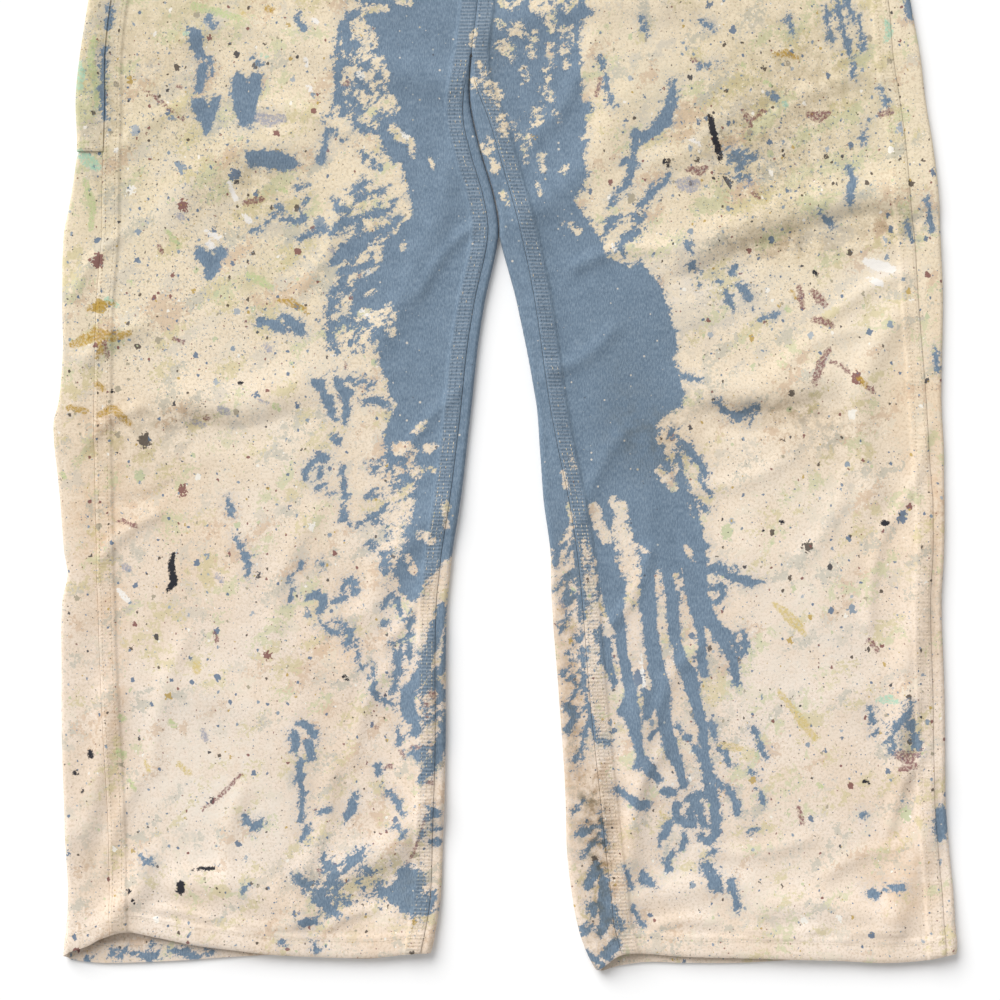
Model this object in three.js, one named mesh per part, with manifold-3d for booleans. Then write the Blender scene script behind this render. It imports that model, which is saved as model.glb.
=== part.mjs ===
// Paint spattered bib overalls, laid flat on their back with the front facing up.
// Millimetres. X runs across the garment, +X towards the wearer's left leg; Y runs up the garment
// from the hems; Z is up off the surface it lies on. The wearer's right leg is at -X.
import * as THREE from "three";
import Module from "manifold-3d";
import { mergeVertices } from "three/addons/utils/BufferGeometryUtils.js";

// Driving dimensions of the cloth
const CLOTH = 1.4; // one layer of painted canvas
const HEM_CLOTH = 2.8; // the doubled cloth of a hem
const FELL_CLOTH = 2.4; // the lapped cloth of a flat felled seam
const FELL_WIDTH = 12;
const HEM_DEPTH = 15;
const SEAM_GAP = 0.3;
const LAYER_HEIGHT = 3.2; // underside of the front cloth where it lies closest to the back
const EDGE_LOFT = 1.8; // how much a side fold holds the front cloth up
const EDGE_LOFT_REACH = 24;
const CROTCH_EASE = 60; // the inner folds settle over this height as they near the crotch
const HEM_LOFT = 3.6; // how far the hem's mouth stands open
const HEM_LOFT_REACH = 70;
const MIN_STRIP = 3; // least width of back cloth that comes round a fold onto the top

// Driving dimensions up the garment, measured from the hems
const LEGS_MEET = 543; // from here up the legs' inner folds lie against each other
const CROTCH = 678;
const BAND_BOTTOM = 1000;
const BAND_TOP = 1040;
const BIB_TOP = 1310;
const BACK_TOP = 1310;
const SHOULDER_FOLD = 1436;
const WAIST_SIDE = 256;
const WAIST_OUTSEAM = 238;

// Outline of the wearer's right leg, seen from the front, a row for each height
const RIGHT_LEG = [
  { up: 0, side: -331, outseam: -295, inner: -52 },
  { up: 38, side: -328, outseam: -296, inner: -45 },
  { up: 90, side: -330, outseam: -297, inner: -43 },
  { up: 152, side: -332, outseam: -300, inner: -41 },
  { up: 228, side: -333, outseam: -304, inner: -41 },
  { up: 266, side: -332, outseam: -305, inner: -40 },
  { up: 285, side: -328, outseam: -306, inner: -38 },
  { up: 304, side: -331, outseam: -306, inner: -36 },
  { up: 342, side: -334, outseam: -307, inner: -30 },
  { up: 399, side: -339, outseam: -308, inner: -23 },
  { up: 418, side: -335, outseam: -308, inner: -21 },
  { up: 456, side: -332, outseam: -307, inner: -17 },
  { up: 494, side: -332, outseam: -306, inner: -11 },
  { up: 543, side: -331, outseam: -302, inner: -1 },
  { up: 570, side: -326, outseam: -302, inner: -4 },
  { up: 608, side: -321, outseam: -301, inner: -15 },
  { up: 646, side: -322, outseam: -300, inner: -23 },
  { up: 678, side: -319, outseam: -300, inner: -22 },
  { up: 722, side: -312, outseam: -295, inner: -17 },
  { up: 860, side: -288, outseam: -269, inner: -8 },
  { up: 1000, side: -260, outseam: -242, inner: 0 },
  { up: 1040, side: -WAIST_SIDE, outseam: -WAIST_OUTSEAM, inner: 0 },
];

// Outline of the wearer's left leg, whose inseam has rolled onto the top
const LEFT_LEG = [
  { up: 0, side: 346, outseam: 343, inner: 73, inseam: 92 },
  { up: 12, side: 346, outseam: 343, inner: 66, inseam: 89 },
  { up: 25, side: 345, outseam: 342, inner: 60, inseam: 86 },
  { up: 45, side: 344, outseam: 341, inner: 55, inseam: 84 },
  { up: 76, side: 341, outseam: 338, inner: 51, inseam: 80 },
  { up: 114, side: 338, outseam: 335, inner: 50, inseam: 76 },
  { up: 190, side: 337, outseam: 334, inner: 45, inseam: 68 },
  { up: 266, side: 335, outseam: 331, inner: 39, inseam: 62 },
  { up: 304, side: 337, outseam: 330, inner: 38, inseam: 58 },
  { up: 342, side: 337, outseam: 328, inner: 33, inseam: 52 },
  { up: 380, side: 337, outseam: 325, inner: 30, inseam: 44 },
  { up: 418, side: 335, outseam: 323, inner: 27, inseam: 37 },
  { up: 494, side: 336, outseam: 317, inner: 12, inseam: 26 },
  { up: 543, side: 334, outseam: 314, inner: -1, inseam: 16 },
  { up: 570, side: 333, outseam: 311, inner: -4, inseam: 9 },
  { up: 608, side: 329, outseam: 308, inner: -15, inseam: -2 },
  { up: 646, side: 323, outseam: 303, inner: -23, inseam: -12 },
  { up: 678, side: 319, outseam: 298, inner: -22, inseam: -17 },
  { up: 722, side: 311, outseam: 294, inner: -17, inseam: -17 },
  { up: 860, side: 286, outseam: 268, inner: -8, inseam: -8 },
  { up: 1000, side: 260, outseam: 242, inner: 0, inseam: 0 },
  { up: 1040, side: WAIST_SIDE, outseam: WAIST_OUTSEAM, inner: 0, inseam: 0 },
];

// How far each hem's edge lies above or below the hem line, across the garment
const FRONT_HEM = [
  { across: -331, lift: -1.5 },
  { across: -312, lift: 4.6 },
  { across: -302, lift: 9.9 },
  { across: -284, lift: 15 },
  { across: -262, lift: 11.4 },
  { across: -233, lift: 5.3 },
  { across: -204, lift: 1.5 },
  { across: -170, lift: -2.4 },
  { across: -100, lift: -4.6 },
  { across: -52, lift: -1 },
  { across: 73, lift: -13 },
  { across: 90, lift: -2.5 },
  { across: 102, lift: -0.8 },
  { across: 137, lift: -3.5 },
  { across: 203, lift: -5.3 },
  { across: 261, lift: -7 },
  { across: 290, lift: -8.4 },
  { across: 320, lift: -6.5 },
  { across: 346, lift: -1 },
];
const BACK_HEM = [
  { across: -331, lift: -6 },
  { across: -302, lift: -9.1 },
  { across: -248, lift: -7.6 },
  { across: -204, lift: -4.6 },
  { across: -160, lift: -3 },
  { across: -100, lift: -6 },
  { across: -52, lift: -1 },
  { across: 73, lift: -15.6 },
  { across: 90, lift: -11.4 },
  { across: 112, lift: -8.4 },
  { across: 137, lift: -9.1 },
  { across: 182, lift: -9.1 },
  { across: 228, lift: -6.8 },
  { across: 290, lift: -7 },
  { across: 346, lift: -3 },
];
const HEM_BEND_REACH = 80; // how far up the leg a hem's wander is still felt

// The largest folds of the front: a soft ridge or trough from one point to another, bowed sideways
const FOLDS = [
  { fromX: -226, fromUp: 397, toX: -168, toUp: 400, bow: -6, reach: 11, rise: -2.4 },
  { fromX: -232, fromUp: 418, toX: -160, toUp: 426, bow: -8, reach: 16, rise: 3.6 },
  { fromX: -312, fromUp: 452, toX: -280, toUp: 470, bow: 3, reach: 9, rise: 3.2 },
  { fromX: -296, fromUp: 190, toX: -318, toUp: 92, bow: 4, reach: 10, rise: 3 },
  { fromX: -270, fromUp: 62, toX: -292, toUp: 18, bow: 5, reach: 12, rise: 4.5 },
  { fromX: -238, fromUp: 50, toX: -158, toUp: 34, bow: 6, reach: 14, rise: 3.4 },
  { fromX: -116, fromUp: 62, toX: -58, toUp: 104, bow: -5, reach: 13, rise: 4.2 },
  { fromX: -92, fromUp: 40, toX: -66, toUp: 66, bow: 3, reach: 12, rise: -2.2 },
  { fromX: -62, fromUp: 128, toX: -58, toUp: 232, bow: -4, reach: 14, rise: 3.6 },
  { fromX: -100, fromUp: 260, toX: -50, toUp: 330, bow: 6, reach: 12, rise: 2.6 },
  { fromX: -200, fromUp: 300, toX: -120, toUp: 210, bow: -14, reach: 18, rise: 2.4 },
  { fromX: -240, fromUp: 200, toX: -150, toUp: 150, bow: 10, reach: 20, rise: 2.2 },
  { fromX: -250, fromUp: 560, toX: -170, toUp: 610, bow: 10, reach: 18, rise: 2.6 },
  { fromX: -90, fromUp: 470, toX: -40, toUp: 590, bow: -8, reach: 13, rise: 2.4 },
  { fromX: 140, fromUp: 506, toX: 276, toUp: 552, bow: 8, reach: 11, rise: -2.6 },
  { fromX: 150, fromUp: 530, toX: 290, toUp: 574, bow: 8, reach: 15, rise: 4 },
  { fromX: 276, fromUp: 552, toX: 334, toUp: 553, bow: 2, reach: 9, rise: -1.8 },
  { fromX: 165, fromUp: 404, toX: 240, toUp: 412, bow: -4, reach: 10, rise: -2.4 },
  { fromX: 160, fromUp: 426, toX: 236, toUp: 434, bow: -6, reach: 15, rise: 3 },
  { fromX: 298, fromUp: 476, toX: 282, toUp: 352, bow: -18, reach: 12, rise: 3 },
  { fromX: 316, fromUp: 302, toX: 308, toUp: 220, bow: 4, reach: 11, rise: 3.4 },
  { fromX: 309, fromUp: 190, toX: 304, toUp: 140, bow: -4, reach: 10, rise: 4.2 },
  { fromX: 326, fromUp: 130, toX: 300, toUp: 40, bow: 6, reach: 13, rise: 3.4 },
  { fromX: 108, fromUp: 42, toX: 182, toUp: 50, bow: 4, reach: 11, rise: 2.6 },
  { fromX: 200, fromUp: 36, toX: 296, toUp: 30, bow: 5, reach: 11, rise: 2.8 },
  { fromX: 96, fromUp: 60, toX: 104, toUp: 190, bow: -5, reach: 10, rise: 3.6 },
  { fromX: 76, fromUp: 210, toX: 130, toUp: 130, bow: 6, reach: 13, rise: 3 },
  { fromX: 110, fromUp: 330, toX: 160, toUp: 240, bow: -10, reach: 16, rise: 2.6 },
  { fromX: 190, fromUp: 300, toX: 260, toUp: 200, bow: 14, reach: 20, rise: 2.4 },
  { fromX: 20, fromUp: 560, toX: 90, toUp: 640, bow: -10, reach: 16, rise: 2.8 },
  { fromX: -150, fromUp: 690, toX: -40, toUp: 660, bow: -6, reach: 15, rise: 3 },
  { fromX: 0, fromUp: 700, toX: 120, toUp: 720, bow: 8, reach: 16, rise: 3 },
  { fromX: -250, fromUp: 820, toX: -150, toUp: 780, bow: 8, reach: 20, rise: 3 },
  { fromX: 130, fromUp: 800, toX: 240, toUp: 850, bow: -8, reach: 20, rise: 3.2 },
  { fromX: -120, fromUp: 930, toX: -60, toUp: 850, bow: 6, reach: 18, rise: 2.4 },
  { fromX: 60, fromUp: 900, toX: 110, toUp: 960, bow: 6, reach: 18, rise: 2.4 },
];
const ROLLED_SEAM_RISE = 2.6; // the rolled inseam of the left leg stands above the cloth beside it
const ROLLED_SEAM_REACH = 13;

// Pocket for a folding rule, on the back of the wearer's right leg
const POCKET_BOTTOM = 606;
const POCKET_TOP = 830;
const POCKET_UNDER = 34; // how far it runs on under the side fold
const POCKET_LIFT = CLOTH + SEAM_GAP;
const POCKET_EASE = 0.5; // the panel is level this far past the pocket's ends
const POCKET_STEP = 5; // and back in its own line this far past them

// Bib, upper back, straps and their metal
const BIB_SIDES = [
  { up: 1040.3, half: 152 },
  { up: 1100, half: 146 },
  { up: 1180, half: 136 },
  { up: 1260, half: 127 },
  { up: 1310, half: 124 },
];
const BACK_SIDES = [
  { up: 1040.3, half: 246 },
  { up: 1066, half: 222 },
  { up: 1100, half: 186 },
  { up: 1140, half: 155 },
  { up: 1190, half: 128 },
  { up: 1250, half: 106 },
  { up: 1310, half: 92 },
];
const STRAP_WIDTH = 40;
const STRAP_CLOTH = 1.8;
const STRAP_ROOT = 68;
const STRAP_SHOULDER = 96;
const SLIDE_CENTRE = 104;
const SLIDE_BAR_UP = 1323;
const SLIDE_WIRE = 2.4;
const BIB_BUTTON_UP = 1288;
const BUTTON_HEAD = 17;
const BUTTON_HEAD_HEIGHT = 2.4;
const SHANK = 5;
const SHANK_HEIGHT = 1.2;
const SIDE_BUTTONS = [
  { name: "side_button_upper", up: 1018, inset: 14 },
  { name: "side_button_lower", up: 925, inset: 9 },
];

// Colours of the pieces, as they show in the paint and cloth
const CANVAS = { color: 0xeadabf, roughness: 0.92, metalness: 0 };
const NICKEL = { color: 0xb8b6ae, roughness: 0.35, metalness: 1 };

const wasm = await Module();
wasm.setup();

const garment = new THREE.Group();

function addPiece(name, geometry, look) {
  geometry.computeVertexNormals();
  const mesh = new THREE.Mesh(geometry, new THREE.MeshStandardMaterial(look));
  mesh.name = name;
  garment.add(mesh);
  return mesh;
}

// Reads a column of a table at a height or a place across, easing from row to row
function readTable(rows, key, column, at) {
  if (at <= rows[0][key]) return rows[0][column];
  const last = rows.length - 1;
  if (at >= rows[last][key]) return rows[last][column];
  let i = 0;
  while (rows[i + 1][key] < at) i += 1;
  const span = rows[i + 1][key] - rows[i][key];
  const slope = (k) => {
    const before = rows[Math.max(k - 1, 0)];
    const after = rows[Math.min(k + 1, last)];
    return (after[column] - before[column]) / (after[key] - before[key]);
  };
  const t = (at - rows[i][key]) / span;
  const t2 = t * t;
  const t3 = t2 * t;
  return (2 * t3 - 3 * t2 + 1) * rows[i][column]
    + (t3 - 2 * t2 + t) * span * slope(i)
    + (3 * t2 - 2 * t3) * rows[i + 1][column]
    + (t3 - t2) * span * slope(i + 1);
}

const smooth = (t) => {
  const c = Math.min(Math.max(t, 0), 1);
  return c * c * (3 - 2 * c);
};
const bell = (distance, reach) => Math.exp(-((distance / reach) ** 2));

// Height that one fold adds at a point
function foldRise(fold, x, up) {
  const runX = fold.toX - fold.fromX;
  const runUp = fold.toUp - fold.fromUp;
  const length = Math.hypot(runX, runUp);
  const along = ((x - fold.fromX) * runX + (up - fold.fromUp) * runUp) / (length * length);
  const across = ((up - fold.fromUp) * runX - (x - fold.fromX) * runUp) / length;
  const onFold = Math.min(Math.max(along, 0), 1);
  const sideways = across - fold.bow * 4 * onFold * (1 - onFold);
  const past = (along - onFold) * length;
  return fold.rise * bell(sideways, fold.reach) * bell(past, fold.reach * 1.5);
}

// A leg knows its outline at each height; hand is -1 on the wearer's right and +1 on the left
function makeLeg(rows, hand) {
  const read = (column, up) => readTable(rows, "up", column, up);
  const meets = (up) => up > LEGS_MEET;
  const inner = (up) => {
    const shared = readTable(RIGHT_LEG, "up", "inner", up);
    return meets(up) ? shared + (hand * SEAM_GAP) / 2 : read("inner", up);
  };
  return {
    hand,
    side: (up) => read("side", up),
    outseam: (up) => {
      const seam = read("outseam", up);
      const limit = read("side", up) - hand * (MIN_STRIP + 6);
      return hand > 0 ? Math.min(seam, limit) : Math.max(seam, limit);
    },
    inner,
    inseam: (up) => {
      if (up > CROTCH) return inner(up);
      const seam = hand > 0 ? read("inseam", up) : inner(up) - MIN_STRIP;
      const limit = inner(up) + hand * (MIN_STRIP + 5);
      return hand > 0 ? Math.max(seam, limit) : Math.min(seam, limit);
    },
  };
}
const rightLeg = makeLeg(RIGHT_LEG, -1);
const leftLeg = makeLeg(LEFT_LEG, 1);

// Underside of the front cloth at a point of a leg
function frontHeight(leg, x, up) {
  let height = LAYER_HEIGHT;
  height += EDGE_LOFT * bell(leg.side(up) - x, EDGE_LOFT_REACH);
  const below = smooth((CROTCH - up) / CROTCH_EASE);
  height += below * EDGE_LOFT * bell(leg.inner(up) - x, EDGE_LOFT_REACH);
  height += HEM_LOFT * (1 - smooth(up / HEM_LOFT_REACH));
  if (leg.hand > 0) height += below * ROLLED_SEAM_RISE * bell(leg.inseam(up) - x, ROLLED_SEAM_REACH);
  for (const fold of FOLDS) height += foldRise(fold, x, up);
  return Math.max(height, LAYER_HEIGHT - 1);
}

// How far a hem's wander moves the cloth at a point up or down the leg
function hemLift(table, x, up) {
  return readTable(table, "across", "lift", x) * (1 - smooth(up / HEM_BEND_REACH));
}

// A closed wall of cloth: points in rows and columns, each with the way out and its depth either
// side, and only the cells that are cloth. Every open edge of the cells is closed by a rim.
function clothWall(rows, isCloth) {
  const columns = rows[0].length;
  const vertices = [];
  for (const row of rows) {
    for (const { point, out, over, under } of row) {
      vertices.push(point.clone().addScaledVector(out, over));
      vertices.push(point.clone().addScaledVector(out, -under));
    }
  }
  const outer = (r, c) => 2 * (r * columns + c);
  const faces = [];
  const edges = new Map();
  for (let r = 0; r + 1 < rows.length; r += 1) {
    for (let c = 0; c + 1 < columns; c += 1) {
      if (!isCloth(r, c)) continue;
      const corners = [outer(r, c), outer(r, c + 1), outer(r + 1, c + 1), outer(r + 1, c)];
      const [a, b, d, e] = corners;
      faces.push([a, b, d], [a, d, e]);
      faces.push([a + 1, d + 1, b + 1], [a + 1, e + 1, d + 1]);
      corners.forEach((start, k) => {
        const end = corners[(k + 1) % 4];
        if (!edges.delete(`${end}_${start}`)) edges.set(`${start}_${end}`, [start, end]);
      });
    }
  }
  for (const [start, end] of edges.values()) {
    faces.push([start, end + 1, end], [start, start + 1, end + 1]);
  }
  const used = new Map();
  const positions = [];
  const index = faces.flat().map((vertex) => {
    if (!used.has(vertex)) {
      used.set(vertex, used.size);
      positions.push(...vertices[vertex].toArray());
    }
    return used.get(vertex);
  });
  const geometry = new THREE.BufferGeometry();
  geometry.setAttribute("position", new THREE.Float32BufferAttribute(positions, 3));
  geometry.setIndex(index);
  return geometry;
}

const everywhere = () => true;
const UP = new THREE.Vector3(0, 0, 1);
const steps = (count) => Array.from({ length: count + 1 }, (_, i) => i / count);
const between = (from, to, count) => steps(count).map((t) => from + (to - from) * t);

// Fronts and backs share their rows, so that their seams run side by side
const HEM_STEP = 2;
const LEG_ROWS = [
  0, HEM_DEPTH - HEM_STEP, HEM_DEPTH, ...between(44, POCKET_BOTTOM - POCKET_STEP, 19),
  POCKET_BOTTOM - POCKET_EASE, 630, 654, CROTCH, CROTCH + 12, 722, 776,
  POCKET_TOP + POCKET_EASE, POCKET_TOP + POCKET_STEP, 885, 945, BAND_BOTTOM - SEAM_GAP,
];

// Front leg panel, with a row of cells along each felled edge and one along the hem
const FRONT_INNER_COLUMNS = 12;
const FELL_STEP = 2;

function makeLegFront(leg) {
  const rows = LEG_ROWS.map((up) => {
    const seamOut = leg.outseam(up) - leg.hand * SEAM_GAP;
    const seamIn = up > CROTCH ? leg.inner(up) : leg.inseam(up) + leg.hand * SEAM_GAP;
    const lapped = FELL_WIDTH + FELL_STEP;
    const acrossRow = [
      seamIn, seamIn + leg.hand * FELL_WIDTH,
      ...between(seamIn + leg.hand * lapped, seamOut - leg.hand * lapped, FRONT_INNER_COLUMNS),
      seamOut - leg.hand * FELL_WIDTH, seamOut,
    ];
    const last = acrossRow.length - 1;
    return acrossRow.map((x, c) => {
      const felled = c < 2 || c > last - 2;
      const y = up + hemLift(FRONT_HEM, x, up);
      const hemmed = up < HEM_DEPTH;
      return {
        point: new THREE.Vector3(x, y, frontHeight(leg, x, up)),
        out: UP,
        over: felled ? FELL_CLOTH : CLOTH,
        under: hemmed ? HEM_CLOTH - CLOTH : 0,
      };
    });
  });
  if (leg.hand < 0) rows.forEach((row) => row.reverse());
  return clothWall(rows, everywhere);
}

// Back leg panel: a top strip at the outseam, the outer fold, the flat back, the inner fold and a
// top strip at the inseam. Above the crotch only the flat back and the outer fold go on.
const STRIP_COLUMNS = 2;
const FOLD_COLUMNS = 5;
const FLAT_COLUMNS = 3;
const BACK_ROWS = [...LEG_ROWS, BAND_BOTTOM, BAND_TOP];

function backSection(leg, up) {
  const pocketed = leg.hand < 0 && up > POCKET_BOTTOM - POCKET_STEP && up < POCKET_TOP + POCKET_STEP;
  const lift = pocketed ? POCKET_LIFT : 0;
  const hemmed = up < HEM_DEPTH;
  const under = (hemmed ? HEM_CLOTH : CLOTH) - CLOTH / 2;
  const flatHeight = CLOTH / 2;
  const points = [];
  const place = (x, z, outX, outZ, onBack) => {
    const y = up + (1 - onBack) * hemLift(FRONT_HEM, x, up) + onBack * hemLift(BACK_HEM, x, up);
    points.push({
      point: new THREE.Vector3(x, y, z),
      out: new THREE.Vector3(outX, 0, outZ),
      over: CLOTH / 2,
      under,
    });
  };
  // A fold runs over the cloth's side from the top layer, or back up to it
  const foldAt = (edge, way, raised) => {
    const edgeIn = edge - way * EDGE_LOFT_REACH * 0.2;
    const top = frontHeight(leg, edgeIn, up) + CLOTH / 2;
    const base = flatHeight + raised;
    const radius = (top - base) / 2;
    return { x: edge - way * (radius + CLOTH / 2 + raised), z: base + radius, radius, base };
  };
  const outer = foldAt(leg.side(up), leg.hand, lift);
  for (const x of between(leg.outseam(up), outer.x, STRIP_COLUMNS)) {
    const blend = smooth(Math.abs(x - leg.outseam(up)) / Math.abs(outer.x - leg.outseam(up) || 1));
    const seamHeight = frontHeight(leg, x, up) + CLOTH / 2;
    const foldHeight = outer.z + outer.radius;
    place(x, seamHeight + (foldHeight - seamHeight) * blend, 0, 1, 0);
  }
  for (const t of steps(FOLD_COLUMNS).slice(1)) {
    const angle = Math.PI * t;
    const sx = leg.hand * Math.sin(angle);
    const sz = Math.cos(angle);
    place(outer.x + outer.radius * sx, outer.z + outer.radius * sz, sx, sz, t);
  }
  const inner = foldAt(leg.inner(up), -leg.hand, 0);
  const joined = up > CROTCH;
  const flatEnd = joined ? leg.inner(up) : inner.x;
  const pocketEnd = leg.side(up) - leg.hand * (POCKET_UNDER + POCKET_STEP / 2);
  const flatStart = pocketEnd - leg.hand * POCKET_STEP;
  const flatRun = [outer.x, pocketEnd, ...between(flatStart, flatEnd, FLAT_COLUMNS)];
  flatRun.slice(1).forEach((x, i) => {
    const raised = i === 0 ? lift : 0;
    place(x, flatHeight + raised, 0, -1, 1);
  });
  const arc = steps(FOLD_COLUMNS).slice(1);
  for (const t of arc) {
    const angle = Math.PI * (1 - t);
    const sx = -leg.hand * Math.sin(angle);
    const sz = Math.cos(angle);
    place(inner.x + inner.radius * sx, inner.z + inner.radius * sz, sx, sz, 1 - t);
  }
  const inseam = joined ? inner.x + leg.hand * MIN_STRIP : leg.inseam(up);
  for (const x of between(inner.x, inseam, STRIP_COLUMNS).slice(1)) {
    const share = smooth(Math.abs(x - inner.x) / Math.abs(inseam - inner.x || 1));
    const seamHeight = frontHeight(leg, x, up) + CLOTH / 2;
    const foldHeight = inner.z + inner.radius;
    place(x, foldHeight + (seamHeight - foldHeight) * share, 0, 1, 0);
  }
  return points;
}

const FLAT_END_COLUMN = STRIP_COLUMNS + FOLD_COLUMNS + 2 + FLAT_COLUMNS;

function makeLegBack(leg) {
  const rows = BACK_ROWS.map((up) => backSection(leg, up));
  const crotchRow = BACK_ROWS.indexOf(CROTCH);
  const isCloth = (r, c) => r < crotchRow || c < FLAT_END_COLUMN;
  if (leg.hand < 0) {
    const last = rows[0].length - 2;
    rows.forEach((row) => row.reverse());
    return clothWall(rows, (r, c) => isCloth(r, last - c));
  }
  return clothWall(rows, isCloth);
}

// The rule pocket follows the back panel round the side fold, moved out clear of it
const POCKET_ROWS = [POCKET_BOTTOM, 630, 654, CROTCH, 722, 776, POCKET_TOP];

function makeRulePocket(leg) {
  const columns = STRIP_COLUMNS + FOLD_COLUMNS + 1;
  const rows = POCKET_ROWS.map((up) => backSection(leg, up).slice(0, columns + 1).map((cloth, c) => {
    const point = cloth.point.clone().addScaledVector(cloth.out, POCKET_LIFT);
    if (c === 0) point.x -= SEAM_GAP;
    if (c === columns) point.x = leg.side(up) - leg.hand * POCKET_UNDER;
    return { point, out: cloth.out, over: CLOTH / 2, under: CLOTH / 2 };
  }).reverse());
  return clothWall(rows, everywhere);
}

addPiece("leg_back_right", makeLegBack(rightLeg), CANVAS);
addPiece("leg_back_left", makeLegBack(leftLeg), CANVAS);
addPiece("leg_front_right", makeLegFront(rightLeg), CANVAS);
addPiece("leg_front_left", makeLegFront(leftLeg), CANVAS);
addPiece("rule_pocket", makeRulePocket(rightLeg), CANVAS);

// Waistband, bib and upper back are level pieces between two sides
function makeLevelPiece({ ups, left, right, columns, height, over, under }) {
  const rows = ups.map((up) => between(left(up), right(up), columns).map((x) => ({
    point: new THREE.Vector3(x, up, height(x, up)),
    out: UP,
    over: over(up),
    under: under(up),
  })));
  return clothWall(rows, everywhere);
}

const nearLeg = (x) => (x < 0 ? rightLeg : leftLeg);
const upperHeight = (x, up) => frontHeight(nearLeg(x), x, Math.min(up, BAND_TOP));

addPiece("waistband", makeLevelPiece({
  ups: [BAND_BOTTOM, (BAND_BOTTOM + BAND_TOP) / 2, BAND_TOP],
  left: (up) => rightLeg.outseam(up) + SEAM_GAP,
  right: (up) => leftLeg.outseam(up) - SEAM_GAP,
  columns: 20,
  height: upperHeight,
  over: () => FELL_CLOTH,
  under: () => 0,
}), CANVAS);

// The bib lies on the upper back and dips a little towards its middle
const BIB_HEM = 26;
const BIB_DIP = 1.2;
const BIB_DIP_SPAN = 60;
const BIB_SETTLE = 60; // the bib comes down from the waistband to its own level over this height
const bibHalf = (up) => readTable(BIB_SIDES, "up", "half", up);
const bibHeight = (x, up) => {
  const settled = smooth((up - BAND_TOP) / BIB_SETTLE);
  const waves = BIB_DIP * Math.cos((x / bibHalf(up)) * Math.PI) * Math.sin((up - BAND_TOP) / BIB_DIP_SPAN);
  const level = HEM_CLOTH + CLOTH + waves;
  return upperHeight(x, up) * (1 - settled) + level * settled;
};
addPiece("bib", makeLevelPiece({
  ups: [...between(BAND_TOP + SEAM_GAP, BIB_TOP - BIB_HEM - HEM_STEP, 7), BIB_TOP - BIB_HEM, BIB_TOP],
  left: (up) => -bibHalf(up),
  right: bibHalf,
  columns: 8,
  height: bibHeight,
  over: () => CLOTH,
  under: (up) => (up >= BIB_TOP - BIB_HEM ? HEM_CLOTH - CLOTH : 0),
}), CANVAS);

const BACK_HEM_DEPTH = 20;
const backHalf = (up) => readTable(BACK_SIDES, "up", "half", up);
addPiece("back_upper", makeLevelPiece({
  ups: [...between(BAND_TOP + SEAM_GAP, BACK_TOP - BACK_HEM_DEPTH, 10), BACK_TOP],
  left: (up) => -backHalf(up),
  right: backHalf,
  columns: 4,
  height: () => CLOTH,
  over: () => 0,
  under: () => CLOTH,
}), CANVAS);

// A strap runs up from the back, turns at the shoulder fold and comes down round the slide's bar
const SLIDE_Z = 8.4; // height of the slide's wire over the surface
const STRAP_LEVEL = STRAP_CLOTH / 2;
const BAR_LOOP = SLIDE_WIRE / 2 + SEAM_GAP + STRAP_CLOTH / 2;
const SHOULDER_LOOP = (SLIDE_Z + BAR_LOOP - STRAP_LEVEL) / 2;
const TAIL_TOP = 1384;
const LOOP_STEPS = 6;

function strapPath(hand) {
  const path = [];
  const place = (x, y, z, outY, outZ) => {
    path.push({ centre: new THREE.Vector3(hand * x, y, z), out: new THREE.Vector3(0, outY, outZ) });
  };
  const turnUp = SHOULDER_FOLD - SHOULDER_LOOP - STRAP_CLOTH / 2;
  for (const t of steps(3)) {
    const x = STRAP_ROOT + (STRAP_SHOULDER - STRAP_ROOT) * t;
    place(x, BACK_TOP + SEAM_GAP + (turnUp - BACK_TOP - SEAM_GAP) * t, STRAP_LEVEL, 0, -1);
  }
  for (const t of steps(LOOP_STEPS).slice(1)) {
    const angle = Math.PI * t;
    const z = STRAP_LEVEL + SHOULDER_LOOP * (1 - Math.cos(angle));
    place(STRAP_SHOULDER, turnUp + SHOULDER_LOOP * Math.sin(angle), z, Math.sin(angle), -Math.cos(angle));
  }
  const topLevel = SLIDE_Z + BAR_LOOP;
  for (const t of steps(4).slice(1)) {
    const x = STRAP_SHOULDER + (SLIDE_CENTRE - STRAP_SHOULDER) * t;
    place(x, turnUp + (SLIDE_BAR_UP - turnUp) * t, topLevel, 0, 1);
  }
  for (const t of steps(LOOP_STEPS).slice(1)) {
    const angle = Math.PI * t;
    const y = SLIDE_BAR_UP - BAR_LOOP * Math.sin(angle);
    place(SLIDE_CENTRE, y, SLIDE_Z + BAR_LOOP * Math.cos(angle), -Math.sin(angle), Math.cos(angle));
  }
  for (const t of steps(2).slice(1)) {
    const x = SLIDE_CENTRE + (STRAP_SHOULDER - SLIDE_CENTRE) * t * 0.5;
    place(x, SLIDE_BAR_UP + (TAIL_TOP - SLIDE_BAR_UP) * t, SLIDE_Z - BAR_LOOP, 0, -1);
  }
  return path;
}

function makeStrap(hand) {
  const rows = strapPath(hand).map(({ centre, out }) => [1, 0, -1].map((edge) => ({
    point: new THREE.Vector3(centre.x + (edge * STRAP_WIDTH) / 2, centre.y, centre.z),
    out,
    over: STRAP_CLOTH / 2,
    under: STRAP_CLOTH / 2,
  })));
  return clothWall(rows, everywhere);
}

// A round wire bent into a closed loop through the given points of one level
const WIRE_SIDES = 6;

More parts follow.
